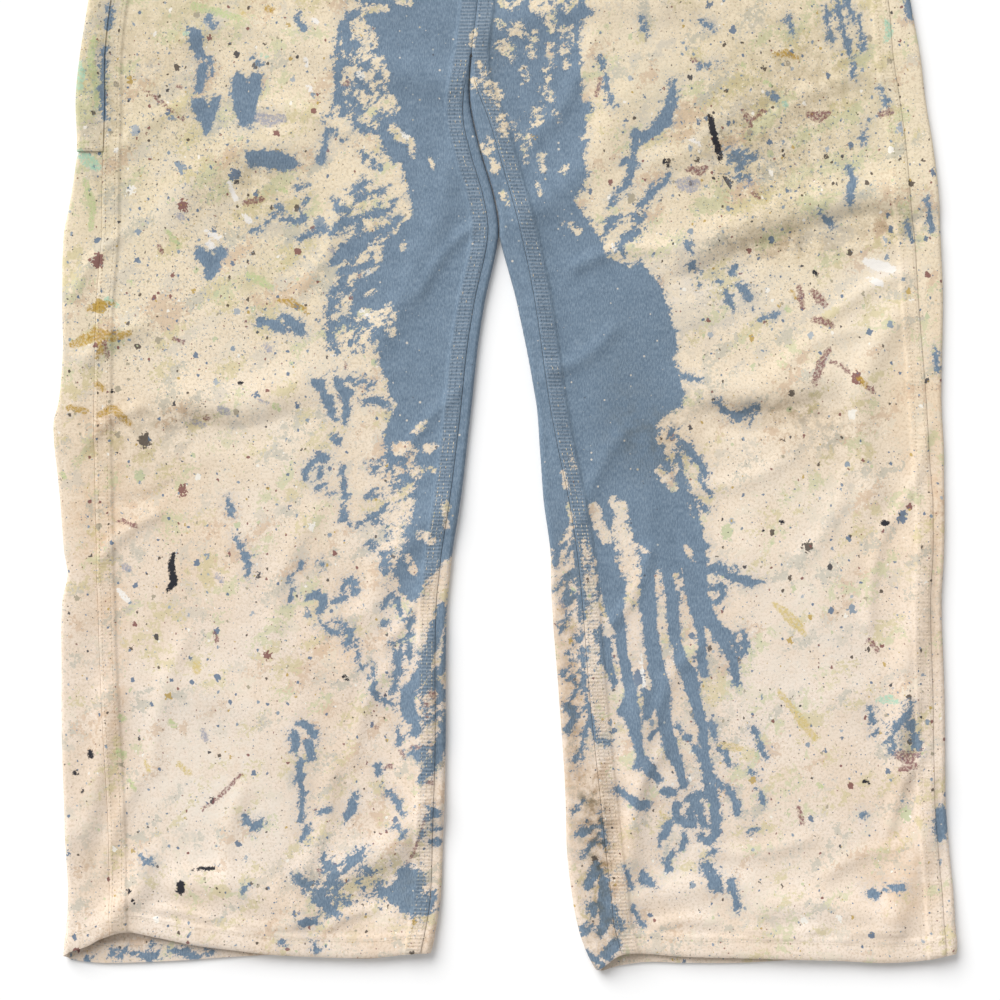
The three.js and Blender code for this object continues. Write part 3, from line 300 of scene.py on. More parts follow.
# Drips, dabs and strokes of the same blue: a run of x, y, width
BLUE_DRIPS = (
    # the upper left thigh's torn edge
    ((340, 60, 5), (338, 42, 4), (342, 28, 5), (350, 15, 8), (358, 14, 6)),
    ((346, 26, 9), (347, 42, 10), (352, 58, 5)), ((356, 40, 6), (358, 56, 7)),
    ((338, 62, 6), (346, 64, 8)), ((338, 66, 4), (339, 84, 4), (337, 98, 8)),
    ((330, 116, 4), (334, 106, 4), (342, 101, 7), (352, 99, 9), (359, 106, 6)),
    ((343, 104, 8), (344, 115, 6)), ((360, 66, 4), (374, 72, 5), (386, 86, 6)),
    ((358, 82, 5), (368, 92, 7), (376, 108, 7), (380, 122, 6)),
    ((355, 121, 4), (363, 130, 8), (378, 134, 7)), ((354, 108, 4), (362, 114, 6)),
    ((326, 123, 4), (328, 136, 5), (325, 148, 6), (322, 160, 8)), ((330, 130, 3), (342, 141, 4)),
    ((361, 154, 4), (372, 162, 6), (380, 167, 5)), ((358, 190, 9), (366, 183, 5)),
    ((358, 200, 6), (368, 194, 5), (386, 190, 4)), ((337, 202, 5), (338, 212, 5)),
    ((344, 210, 7), (348, 211, 5)),
    ((330, 236, 4), (336, 229, 8), (347, 222, 8), (364, 218, 4), (384, 212, 4)),
    ((357, 224, 6), (364, 234, 5)),
    ((334, 264, 7), (342, 254, 14), (354, 249, 17), (366, 241, 13), (380, 232, 6)),
    ((350, 271, 8), (364, 266, 8), (378, 266, 6)), ((372, 254, 4), (373, 264, 5)),
    ((378, 240, 5), (388, 230, 9), (400, 219, 7)), ((392, 212, 4), (394, 202, 5)),
    ((352, 262, 5), (354, 264, 5)), ((302, 216, 5), (304, 222, 5)),
    ((300, 240, 5), (312, 234, 6), (324, 229, 5)), ((304, 206, 6), (308, 198, 4)),
    ((300, 188, 4), (306, 184, 3)),
    # its torn edge lower down, to the knee
    ((350, 292, 8), (340, 288, 7), (333, 294, 7), (331, 308, 7), (329, 324, 9), (336, 326, 8)),
    ((331, 334, 8), (334, 344, 8), (338, 352, 4)), ((342, 270, 6), (343, 280, 7), (348, 288, 8)),
    ((346, 322, 8), (356, 326, 8)), ((350, 344, 5), (356, 343, 5)),
    ((336, 376, 5), (340, 386, 11), (347, 394, 13), (346, 404, 8), (345, 424, 4)),
    ((350, 380, 8), (354, 382, 6)),
    ((312, 379, 5), (321, 387, 9), (328, 401, 10), (333, 412, 9), (335, 420, 4)),
    ((338, 442, 8), (334, 437, 4)), ((305, 478, 6), (309, 466, 6), (318, 460, 7), (328, 455, 6)),
    ((320, 478, 8), (322, 466, 6)), ((317, 488, 6), (325, 484, 5)), ((330, 492, 4), (337, 493, 4)),
    ((343, 466, 3), (344, 482, 5), (345, 496, 6), (350, 494, 4)),
    ((342, 506, 4), (344, 520, 7), (349, 524, 4)), ((370, 466, 5), (380, 468, 7)),
    ((367, 499, 4), (378, 494, 5)), ((374, 490, 3), (384, 484, 4)),
    ((360, 524, 4), (372, 516, 5), (386, 509, 6)), ((376, 518, 4), (386, 526, 6)),
    ((392, 530, 5), (390, 538, 4)), ((372, 545, 8), (374, 549, 6)), ((382, 555, 6), (390, 552, 6)),
    ((362, 400, 6), (374, 400, 8), (386, 404, 8)), ((362, 382, 5), (370, 386, 6)),
    ((384, 562, 6), (386, 579, 6)), ((236, 537, 4), (244, 552, 8), (250, 566, 8), (250, 577, 5)),
    ((228, 500, 5), (232, 512, 6)),
    # between its knee and hem
    ((391, 594, 4), (385, 606, 4)), ((397, 600, 9), (401, 611, 6), (402, 618, 4)),
    ((384, 626, 4), (388, 622, 4)), ((393, 640, 4), (397, 660, 5), (402, 674, 6)),
    ((442, 606, 8), (440, 620, 11), (434, 634, 15), (430, 650, 13), (424, 668, 13), (416, 682, 14),
     (408, 692, 15), (408, 708, 17), (416, 724, 13), (416, 733, 7)),
    ((446, 630, 6), (446, 650, 7), (442, 668, 8), (430, 682, 9), (422, 690, 7)),
    ((436, 684, 11), (444, 694, 8)), ((402, 640, 5), (398, 668, 7), (394, 690, 5)),
    ((412, 612, 4), (408, 640, 6), (410, 660, 5)), ((424, 704, 6), (438, 702, 6), (444, 690, 5)),
    ((418, 722, 9), (430, 720, 6), (438, 712, 6)),
    ((445, 716, 9), (443, 738, 12), (437, 754, 12), (429, 768, 12), (421, 778, 8)),
    ((410, 752, 7), (421, 752, 11), (428, 746, 6)), ((398, 728, 5), (400, 742, 5)),
    ((374, 664, 4), (374, 688, 5), (378, 698, 7), (392, 704, 5)),
    ((358, 650, 3), (360, 664, 4), (364, 670, 5)), ((378, 766, 6), (379, 772, 6)),
    ((382, 786, 4), (392, 794, 5), (398, 802, 7), (402, 812, 5)),
    ((355, 792, 4), (352, 806, 9), (347, 817, 8)), ((390, 827, 5), (398, 824, 4)),
    ((402, 834, 5), (406, 830, 4)), ((429, 806, 5), (436, 812, 10), (426, 818, 6)),
    ((434, 828, 5), (440, 827, 4)), ((430, 840, 6), (438, 840, 5)), ((422, 832, 5), (426, 834, 4)),
    ((366, 846, 5), (358, 854, 8), (350, 862, 12), (344, 868, 6)),
    ((328, 864, 8), (334, 872, 14), (330, 886, 20), (320, 898, 14), (330, 906, 12), (338, 914, 6)),
    ((338, 896, 8), (350, 904, 5)), ((296, 874, 6), (306, 884, 7), (316, 882, 5)),
    ((364, 866, 8), (370, 870, 6)), ((356, 880, 4), (366, 890, 4)), ((304, 921, 9), (316, 920, 7)),
    ((302, 840, 5), (306, 828, 6), (310, 824, 4)), ((326, 852, 5), (324, 862, 5)),
    ((300, 722, 5), (308, 726, 9), (316, 735, 8)), ((296, 734, 10), (297, 748, 8)),
    ((310, 744, 11), (312, 756, 8)),
    ((302, 760, 5), (300, 776, 8), (303, 790, 6), (303, 806, 6), (300, 820, 5)),
    ((292, 576, 3), (291, 600, 4)), ((308, 598, 5), (318, 595, 8), (324, 600, 9), (321, 612, 6)),
    ((333, 602, 5), (344, 598, 6)), ((342, 590, 5), (347, 580, 6), (355, 581, 6), (354, 592, 6)),
    ((322, 624, 5), (332, 632, 6), (342, 635, 6)),
    ((334, 622, 4), (346, 625, 6), (352, 634, 7), (346, 646, 5)), ((354, 644, 5), (357, 647, 4)),
    ((320, 562, 5), (322, 565, 4)), ((300, 566, 5), (304, 562, 4)),
    ((246, 818, 6), (254, 827, 8), (262, 820, 5)), ((320, 812, 4), (328, 809, 6)),
    ((139, 853, 5), (152, 862, 6)), ((248, 884, 4), (244, 890, 4)), ((282, 940, 4), (286, 944, 4)),
    ((314, 940, 5), (318, 950, 5)),
    # the lower edge of the hem and inside its mouth
    ((88, 958, 6), (110, 952, 5)), ((126, 958, 6), (150, 959, 7)), ((160, 956, 8), (180, 957, 9)),
    ((188, 953, 8), (198, 952, 8)), ((205, 950, 5), (212, 951, 5)), ((430, 905, 6), (434, 895, 5)),
    # small dabs over its thigh
    ((298, 20, 6), (305, 31, 8)), ((188, 27, 5), (192, 34, 6)),
    ((196, 36, 14), (198, 48, 12), (204, 60, 7)), ((203, 68, 10), (200, 90, 9)),
    ((200, 106, 16), (206, 116, 17), (208, 130, 8)), ((216, 102, 9), (212, 120, 8)),
    ((240, 82, 15), (242, 100, 19), (246, 122, 12)), ((256, 80, 14), (254, 100, 11), (250, 124, 8)),
    ((254, 158, 15), (272, 161, 19), (292, 164, 14)), ((210, 20, 6), (213, 28, 6)),
    ((201, 254, 12), (212, 264, 18), (211, 278, 8)), ((222, 252, 10), (214, 268, 8)),
    ((210, 58, 4), (213, 72, 4)), ((278, 208, 6), (281, 211, 5)), ((282, 220, 5), (302, 222, 5)),
    ((106, 50, 5), (104, 84, 6), (106, 120, 5)), ((259, 320, 7), (272, 324, 11), (284, 330, 7)),
    ((286, 318, 8), (296, 326, 14), (306, 334, 7)), ((252, 232, 4), (262, 226, 4)),
    ((268, 222, 4), (276, 216, 4)), ((112, 10, 6), (110, 30, 6)), ((254, 60, 4), (260, 66, 4)),
    # thin dashes down the strip beside the left inseam, and paint gathered along the seam
    ((564, 562, 3), (572, 548, 4)), ((556, 590, 3), (566, 574, 4)), ((566, 606, 4), (573, 592, 3)),
    ((560, 630, 3), (570, 614, 4)), ((568, 652, 3), (577, 638, 3)), ((562, 676, 4), (574, 658, 3)),
    ((570, 700, 3), (580, 684, 4)), ((574, 770, 2), (582, 758, 2)), ((572, 812, 2), (584, 798, 2)),
    ((577, 834, 2), (588, 818, 2)), ((582, 856, 2), (594, 840, 2)), ((586, 880, 2), (598, 862, 2)),
    ((574, 548, 4), (578, 590, 3), (582, 640, 3), (586, 690, 2)),
    ((588, 706, 5), (592, 726, 6), (595, 736, 3)), ((600, 810, 2), (604, 845, 3)),
    # the long drips below the left knee
    ((576, 530, 8), (580, 570, 7), (582, 600, 7), (583, 622, 4)),
    ((590, 528, 20), (603, 560, 22), (612, 586, 26), (615, 612, 16), (620, 630, 11), (622, 650, 11),
     (626, 670, 11), (630, 692, 12), (631, 712, 16), (635, 735, 11), (640, 755, 8), (650, 770, 12),
     (657, 778, 6)),
    ((606, 640, 7), (607, 660, 9), (614, 682, 6)), ((598, 630, 4), (602, 652, 4)),
    ((624, 698, 5), (620, 712, 6)), ((640, 752, 5), (636, 766, 6)),
    ((640, 520, 28), (650, 560, 26), (648, 590, 24), (650, 620, 16), (652, 645, 16), (656, 665, 16),
     (661, 690, 19), (662, 710, 14), (666, 730, 13), (671, 750, 15), (678, 766, 9), (682, 782, 6)),
    ((644, 690, 7), (650, 700, 14), (646, 716, 8)), ((648, 738, 5), (654, 730, 5)),
    ((666, 540, 26), (672, 575, 20), (672, 610, 12), (674, 640, 12), (680, 660, 13), (688, 672, 17),
     (692, 690, 14), (697, 710, 11), (702, 726, 10), (704, 745, 8), (706, 765, 8), (709, 785, 11),
     (714, 800, 11), (715, 820, 9), (716, 832, 9), (708, 842, 8), (700, 835, 5)),
    ((690, 530, 26), (694, 570, 26), (697, 600, 22), (698, 630, 12), (700, 655, 12), (704, 674, 8)),
    ((702, 598, 14), (708, 615, 14), (717, 630, 14), (725, 646, 10), (732, 658, 9), (734, 670, 10),
     (737, 685, 6)),
    ((722, 628, 6), (730, 636, 8), (736, 646, 6), (740, 656, 5)),
    ((702, 574, 6), (712, 568, 10), (722, 570, 11), (728, 576, 8), (740, 579, 8), (750, 582, 9),
     (757, 582, 5)),
    ((704, 578, 6), (707, 587, 6), (714, 589, 5), (721, 584, 7), (722, 596, 6), (715, 603, 6),
     (705, 600, 8)),
    ((720, 563, 5), (724, 568, 5)), ((744, 634, 6), (745, 644, 8), (742, 654, 5)),
    ((734, 567, 4), (736, 569, 4)), ((690, 520, 10), (700, 545, 6)), ((700, 536, 5), (706, 548, 6)),
    ((690, 500, 7), (698, 522, 6)), ((616, 788, 6), (628, 796, 7), (640, 805, 9), (646, 802, 6)),
    ((662, 790, 5), (672, 792, 6)), ((753, 727, 6), (757, 738, 4), (763, 753, 8)),
    ((759, 790, 5), (763, 803, 5)), ((749, 770, 4), (756, 776, 4)),
    ((727, 787, 7), (734, 799, 8), (738, 812, 7)), ((712, 775, 5), (721, 785, 7)),
    ((710, 722, 4), (715, 738, 7)), ((694, 746, 5), (702, 757, 7)), ((684, 735, 6), (689, 738, 6)),
    ((678, 727, 7), (680, 730, 5)), ((692, 800, 5), (699, 808, 7), (703, 823, 8)),
    ((690, 812, 6), (692, 824, 7)), ((688, 798, 5), (700, 794, 4), (710, 794, 5)),
    ((676, 804, 5), (674, 815, 5), (686, 824, 6)), ((718, 748, 5), (726, 753, 7), (728, 764, 6)),
    ((668, 822, 5), (665, 834, 8), (658, 843, 5)), ((684, 836, 7), (682, 846, 5)),
    ((671, 853, 9), (669, 858, 7)), ((707, 853, 6), (715, 851, 6)), ((748, 830, 6), (754, 828, 5)),
    ((663, 858, 6), (668, 868, 6)),
    # down the strip beside the left inseam
    ((557, 549, 6), (573, 541, 6)), ((557, 551, 7), (556, 566, 6)), ((566, 579, 6), (573, 572, 8)),
    ((567, 589, 5), (566, 603, 7), (577, 594, 6)), ((577, 550, 7), (580, 580, 7), (584, 604, 9)),
    ((588, 564, 7), (590, 572, 8)), ((595, 578, 5), (597, 594, 6)),
    ((568, 706, 11), (575, 714, 9), (567, 728, 8)), ((587, 722, 5), (582, 744, 5), (574, 761, 6)),
    ((596, 738, 5), (608, 742, 7)), ((582, 834, 5), (592, 827, 5)), ((570, 676, 5), (576, 684, 5)),
    ((581, 640, 4), (584, 680, 4), (590, 726, 4)), ((598, 868, 5), (588, 886, 4)),
    ((603, 878, 7), (605, 900, 13), (606, 918, 11), (600, 930, 6)), ((592, 904, 6), (594, 912, 6)),
    ((612, 906, 8), (620, 926, 7)), ((605, 952, 12), (615, 942, 10)), ((582, 929, 4), (592, 924, 4)),
    ((632, 905, 5), (640, 922, 6)), ((626, 868, 4), (630, 884, 5)), ((640, 878, 6), (650, 884, 5)),
    ((586, 952, 7), (602, 962, 6)),
    # dabs over the left leg
    ((674, 82, 5), (671, 96, 8), (668, 110, 14), (664, 124, 13), (655, 132, 12), (644, 138, 10),
     (636, 134, 8), (634, 150, 7)),
    ((633, 156, 7), (630, 178, 7)), ((622, 164, 6), (627, 160, 5)),
    ((669, 175, 5), (662, 184, 6), (652, 192, 9), (645, 203, 7), (637, 212, 5)),
    ((628, 184, 8), (619, 192, 5), (610, 203, 5)),
    ((606, 228, 6), (612, 220, 6), (626, 217, 5), (636, 216, 7), (642, 224, 6), (635, 232, 9),
     (624, 237, 8)),
    ((623, 246, 6), (622, 254, 6)), ((684, 241, 5), (690, 252, 5)), ((690, 268, 8), (693, 262, 6)),
    ((697, 278, 4), (699, 286, 4)), ((714, 280, 3), (721, 283, 3)), ((736, 266, 6), (730, 274, 7)),
    ((726, 293, 6), (729, 302, 7), (733, 310, 4)), ((737, 286, 6), (746, 291, 8), (750, 300, 5)),
    ((717, 404, 6), (724, 411, 7), (736, 417, 7), (746, 412, 7), (757, 406, 5)),
    ((752, 420, 4), (748, 425, 4)), ((760, 320, 3), (776, 313, 3)),
    ((733, 152, 7), (740, 164, 13), (737, 178, 8)), ((746, 158, 8), (757, 158, 5)),
    ((670, 432, 6), (680, 440, 8), (690, 452, 11), (700, 464, 8), (706, 478, 5)),
    ((676, 452, 6), (680, 476, 9), (686, 500, 9)), ((696, 498, 6), (706, 510, 6)),
    ((700, 480, 5), (710, 496, 5)), ((678, 374, 5), (690, 379, 6), (700, 380, 4)),
    ((836, 2, 5), (842, 30, 7), (850, 58, 5), (853, 80, 4)), ((824, 10, 4), (830, 40, 6)),
    ((858, 16, 4), (862, 50, 4)), ((846, 0, 6), (852, 20, 5)), ((906, 2, 6), (910, 20, 5)),
    ((906, 224, 5), (910, 241, 6)), ((846, 166, 5), (852, 182, 7), (848, 206, 6)),
    ((820, 216, 6), (830, 224, 8)), ((888, 740, 6), (896, 724, 7), (908, 706, 5)),
    ((906, 712, 6), (916, 748, 7)), ((868, 708, 5), (876, 732, 5)), ((884, 726, 5), (892, 748, 5)),
    ((940, 814, 15), (940, 823, 17), (938, 840, 5)), ((886, 886, 7), (902, 886, 7)),
    ((870, 891, 9), (873, 893, 8)), ((706, 866, 12), (716, 884, 13)), ((730, 880, 8), (736, 905, 7)),
    ((642, 872, 8), (652, 882, 7)), ((860, 812, 4), (864, 818, 4)),
    ((600, 60, 4), (608, 90, 4), (612, 108, 4)), ((700, 68, 3), (720, 64, 3)),
    ((868, 120, 4), (862, 140, 4)), ((772, 96, 5), (776, 100, 4)), ((700, 22, 5), (712, 30, 5)),
    ((640, 20, 5), (646, 34, 5)), ((788, 20, 4), (792, 34, 4)), ((880, 90, 4), (886, 104, 5)),
    ((926, 200, 4), (930, 230, 5)), ((934, 350, 4), (936, 372, 4)),
)
# Cloth left bare inside the blue: a run of x, y, width
BLUE_GAPS = (
    ((475, 32, 4), (472, 46, 7)), ((480, 66, 5), (484, 74, 6)), ((474, 80, 4), (475, 93, 4)),
    ((484, 82, 6), (490, 88, 11), (493, 97, 9), (497, 107, 6)),
    ((501, 117, 5), (503, 128, 7), (504, 138, 5)), ((500, 46, 8), (508, 46, 11), (510, 58, 6)),
    ((513, 33, 9), (519, 27, 8), (522, 38, 5)), ((498, 24, 7), (503, 27, 6)),
    ((502, 5, 5), (512, 9, 5), (520, 3, 6)), ((532, 0, 6), (537, 13, 8)),
    ((546, -6, 13), (548, 12, 14), (551, 25, 8), (556, 36, 4)), ((562, -4, 10), (566, 12, 7)),
    ((578, -8, 9), (571, 4, 8)), ((563, 30, 6), (564, 48, 7), (566, 66, 5)), ((570, 30, 4), (572, 43, 4)),
    ((536, 35, 4), (534, 46, 8), (531, 55, 5)), ((552, 57, 6), (552, 67, 6)),
    ((546, 71, 4), (548, 80, 5)), ((524, 69, 5), (526, 80, 6)), ((545, 90, 6), (550, 98, 9)),
    ((535, 110, 5), (536, 121, 11), (544, 111, 6)), ((514, 126, 5), (517, 137, 5)),
    ((530, 138, 8), (527, 148, 7), (524, 161, 4)), ((543, 157, 6), (541, 169, 9)),
    ((562, 173, 6), (566, 167, 4)), ((484, 148, 6), (488, 152, 6)), ((493, 162, 5), (496, 171, 5)),
    ((487, 137, 3), (496, 152, 3)), ((538, 185, 4), (539, 195, 5)), ((502, 194, 5), (508, 205, 5)),
    ((570, 226, 6), (578, 232, 8)), ((580, 138, 5), (589, 136, 6)), ((547, 48, 5), (552, 46, 4)),
    ((556, 114, 3), (558, 122, 4)), ((392, 128, 5), (399, 136, 10), (410, 142, 9), (414, 160, 4)),
    ((403, 242, 5), (404, 250, 5)), ((430, 160, 3), (433, 170, 3)),
    ((364, 8, 7), (376, 10, 9), (386, 9, 5)), ((394, 2, 4), (404, 4, 5), (410, 4, 6)),
    ((368, 296, 5), (374, 294, 4)), ((364, 314, 5), (378, 318, 7), (394, 316, 5)),
    ((388, 306, 4), (392, 334, 4)), ((334, 312, 8), (344, 302, 9), (346, 316, 5)),
    ((396, 446, 9), (408, 450, 15), (412, 464, 10), (418, 476, 7)), ((428, 448, 9), (436, 446, 7)),
    ((424, 470, 4), (434, 470, 5)), ((404, 492, 5), (414, 486, 5)), ((414, 432, 6), (424, 424, 7)),
    ((390, 500, 9), (402, 506, 6)), ((446, 504, 7), (445, 514, 7)), ((446, 522, 5), (447, 528, 6)),
    ((420, 532, 9), (430, 540, 10)), ((410, 560, 4), (414, 572, 5)), ((400, 468, 6), (398, 480, 5)),
    ((594, 508, 12), (599, 526, 12), (607, 541, 9)),
    ((612, 501, 10), (620, 508, 14), (621, 530, 18), (625, 548, 20), (632, 568, 17), (634, 592, 12)),
    ((586, 550, 8), (588, 560, 5)), ((594, 560, 5), (592, 590, 11), (594, 605, 8)),
    ((566, 500, 3), (571, 520, 3)), ((562, 470, 3), (566, 490, 3)), ((572, 458, 4), (575, 468, 4)),
    ((660, 472, 10), (672, 486, 12)), ((656, 568, 4), (661, 600, 9), (661, 628, 8), (667, 652, 12)),
    ((676, 576, 5), (678, 590, 5)), ((684, 608, 7), (688, 630, 15), (692, 650, 12)),
    ((686, 548, 6), (692, 560, 4)), ((636, 545, 3), (646, 552, 5)), ((606, 210, 4), (614, 206, 4)),
    ((668, 424, 7), (664, 436, 7)), ((668, 448, 8), (674, 470, 7)), ((684, 470, 4), (690, 486, 5)),
    ((688, 470, 5), (694, 484, 7)), ((560, 226, 3), (566, 224, 3)), ((428, 706, 8), (436, 698, 6)),
    ((330, 892, 4), (346, 888, 7)),
)
# Where the paint is thin and flaky, or ragged: x, y, reach across, reach up, strength
RAGGED_PLACES = (
    (470, -170, 130, 90, 1.0), (500, -560, 160, 120, 0.9), (366, 80, 24, 70, 0.9),
    (386, 104, 16, 20, 0.9), (376, 210, 30, 40, 0.7), (372, 318, 30, 30, 1.1), (344, 340, 24, 40, 0.9),
    (400, 480, 22, 40, 0.9), (395, 545, 26, 30, 0.8), (425, 700, 16, 70, 0.3), (530, 80, 46, 90, 1.0),
    (650, 690, 60, 150, -0.25), (600, 220, 16, 20, 0.7), (590, 640, 14, 60, 0.8), (640, 560, 40, 30, 0.5),
    (672, 440, 14, 26, 0.8), (400, 890, 34, 30, 0.7), (335, 880, 34, 30, 0.9), (500, 110, 14, 60, 0.9),
    (225, 110, 60, 60, -0.2), (640, 230, 30, 24, 0.6), (890, 725, 24, 30, 0.8), (740, 160, 20, 24, 0.8),
)
# Thinner places inside the blue and thicker ones outside it: x, y, reach across, reach up, millimetres
BLUE_SHIFTS = (
    (384, 108, 12, 12, -3), (374, 320, 16, 12, -3), (352, 340, 12, 20, 1.5), (388, 330, 10, 16, -2.5),
    (404, 500, 16, 14, -2), (350, 76, 14, 30, 2), (364, 212, 26, 26, 1.6), (400, 548, 18, 18, -1.5),
    (340, 300, 12, 30, 1.5), (392, 470, 12, 30, -1), (600, 640, 12, 60, 1.5), (672, 800, 30, 26, 1.6),
    (696, 770, 12, 30, 1.2), (612, 240, 12, 14, 1.8), (590, 880, 20, 60, 1.6),
)


def outline_distance(x, y, outline):
    """Distance to a closed outline, positive inside."""
    outline = np.asarray(outline, float)
    nearest = np.full(x.shape, 1e9)
    inside = np.zeros(x.shape, bool)
    for (ax, ay), (bx, by) in zip(outline, np.roll(outline, -1, axis=0)):
        run_x, run_y = bx - ax, by - ay
        t = np.clip(((x - ax) * run_x + (y - ay) * run_y) / (run_x**2 + run_y**2), 0, 1)
        nearest = np.minimum(nearest, np.hypot(x - ax - t * run_x, y - ay - t * run_y))
        crosses = (ay > y) != (by > y)
        at = ax + (y - ay) * run_x / (run_y if run_y else 1e-9)
        inside ^= crosses & (x < at)
    return np.where(inside, nearest, -nearest)


def drip_distances(x, y, drips, reach=24):
    """Distance to runs of round blobs joined into drips, positive inside."""
    nearest = np.full(x.shape, -1e3)
    for drip in drips:
        run = np.array(drip, float)
        low, high = run[:, :2].min(axis=0) - reach, run[:, :2].max(axis=0) + reach
        near = (x > low[0]) & (x < high[0]) & (y > low[1]) & (y < high[1])
        px, py = x[near], y[near]
        found = nearest[near]
        for (ax, ay, aw), (bx, by, bw) in zip(run, run[1:]):
            run_x, run_y = bx - ax, by - ay
            t = np.clip(((px - ax) * run_x + (py - ay) * run_y) / (run_x**2 + run_y**2), 0, 1)
            half = (aw + (bw - aw) * t) / 2
            found = np.maximum(found, half - np.hypot(px - ax - t * run_x, py - ay - t * run_y))
        nearest[near] = found
    return nearest


def spread(x, y, places):
    """Sum of soft patches over the photo: x, y, reach across, reach up, strength."""
    total = np.zeros(x.shape)
    for at_x, at_y, reach_x, reach_y, strength in places:
        total += strength * np.exp(-((x - at_x) / reach_x) ** 2 - ((y - at_y) / reach_y) ** 2)
    return total


# Soft stains under and over the spatter, one list for each kind; the dirt list and the first two peach
# places also hold painted shade
OLIVE_PLACES = (
    (196, 14, 70, 24, 0.8), (252, 280, 22, 18, 0.8), (120, 200, 40, 60, 0.35), (160, 120, 60, 60, 0.35),
    (240, 170, 50, 60, 0.35), (300, 250, 40, 60, 0.3), (730, 120, 60, 70, 0.45), (800, 200, 60, 60, 0.4),
    (860, 90, 40, 80, 0.45), (640, 90, 40, 60, 0.3), (90, 90, 20, 80, 0.6), (100, 40, 20, 40, 0.4),
    (780, 40, 60, 40, 0.35), (900, 160, 20, 60, 0.3), (120, 330, 40, 30, 0.3),
)
# Ground-in dirt, and painted shade: the thin bands lie along creases, and the narrow runs down the strips
# beside the inseams
DIRT_AND_SHADE_PLACES = (
    (330, -260, 60, 60, 0.4), (700, -260, 60, 60, 0.4), (500, -430, 130, 50, 0.3),
    (440, -640, 60, 60, 0.25), (340, -60, 70, 60, 0.3), (690, -40, 70, 60, 0.3),
    (500, -690, 140, 20, 0.3), (750, 150, 80, 90, 0.42), (820, 60, 60, 60, 0.3), (790, 245, 90, 16, 0.5),
    (890, 225, 40, 14, 0.5), (775, 412, 60, 14, 0.55), (830, 440, 50, 40, 0.3), (185, 418, 50, 14, 0.4),
    (140, 440, 60, 40, 0.3), (110, 335, 22, 10, 0.4), (250, 190, 60, 50, 0.28), (150, 60, 60, 60, 0.22),
    (620, 400, 30, 90, 0.2), (660, 440, 40, 40, 0.45), (436, 700, 12, 80, 0.3), (415, 885, 26, 24, 0.4),
    (600, 880, 14, 80, 0.45), (570, 590, 14, 60, 0.3), (905, 745, 20, 30, 0.35), (300, 885, 40, 26, 0.3),
    (490, 60, 12, 60, 0.25), (592, 800, 16, 30, 0.6), (604, 850, 14, 40, 0.4), (610, 930, 16, 20, 0.5),
    (572, 700, 8, 60, 0.3), (90, 860, 14, 60, 0.2), (925, 640, 14, 90, 0.2), (100, 120, 24, 90, 0.3),
    (700, 330, 40, 40, 0.2), (563, 610, 14, 90, 0.2), (574, 740, 17, 90, 0.32), (590, 870, 18, 70, 0.26),
)
PEACH_PLACES = (
    # these first two are painted shade down the strip beside the left inseam
    (572, 760, 16, 110, 0.5), (560, 620, 12, 60, 0.35),
    (95, 520, 26, 60, 0.7), (200, 590, 60, 60, 0.35), (110, 650, 20, 90, 0.4), (900, 860, 30, 60, 0.7),
    (935, 480, 10, 160, 0.6), (905, 380, 16, 120, 0.4), (720, 620, 60, 60, 0.2), (330, 640, 40, 50, 0.3),
    (90, 420, 30, 40, 0.4), (118, 760, 12, 160, 0.4), (620, 870, 12, 90, 0.35), (160, 500, 50, 40, 0.3),
    (880, 560, 30, 60, 0.3), (400, 940, 60, 14, 0.3), (420, 585, 20, 30, 0.5),
)
PALE_PLACES = (
    (700, 300, 60, 50, 0.7), (800, 640, 90, 120, 0.6), (200, 700, 90, 120, 0.55), (650, 60, 30, 80, 0.4),
    (250, 420, 60, 40, 0.35), (880, 270, 30, 20, 0.8), (230, 820, 90, 60, 0.5), (760, 880, 90, 50, 0.35),
    (300, 480, 40, 60, 0.3), (860, 320, 40, 50, 0.35),
)
# How thickly small spatter lies: a share of the most it can be
SPATTER_PLACES = (
    (500, -480, 170, 220, 0.4), (330, -120, 90, 90, 0.4), (700, -120, 90, 90, 0.4), (92, 70, 16, 80, 0.7),
    (190, 120, 110, 130, 0.62), (230, 300, 110, 120, 0.5), (770, 150, 110, 110, 0.85),
    (730, 300, 80, 60, 0.45), (300, 600, 90, 110, 0.25), (700, 700, 90, 120, 0.25),
    (120, 330, 50, 60, 0.4), (330, 880, 70, 40, 0.5), (900, 720, 40, 60, 0.4), (860, 560, 90, 120, 0.12),
    (150, 560, 90, 90, 0.15),
)
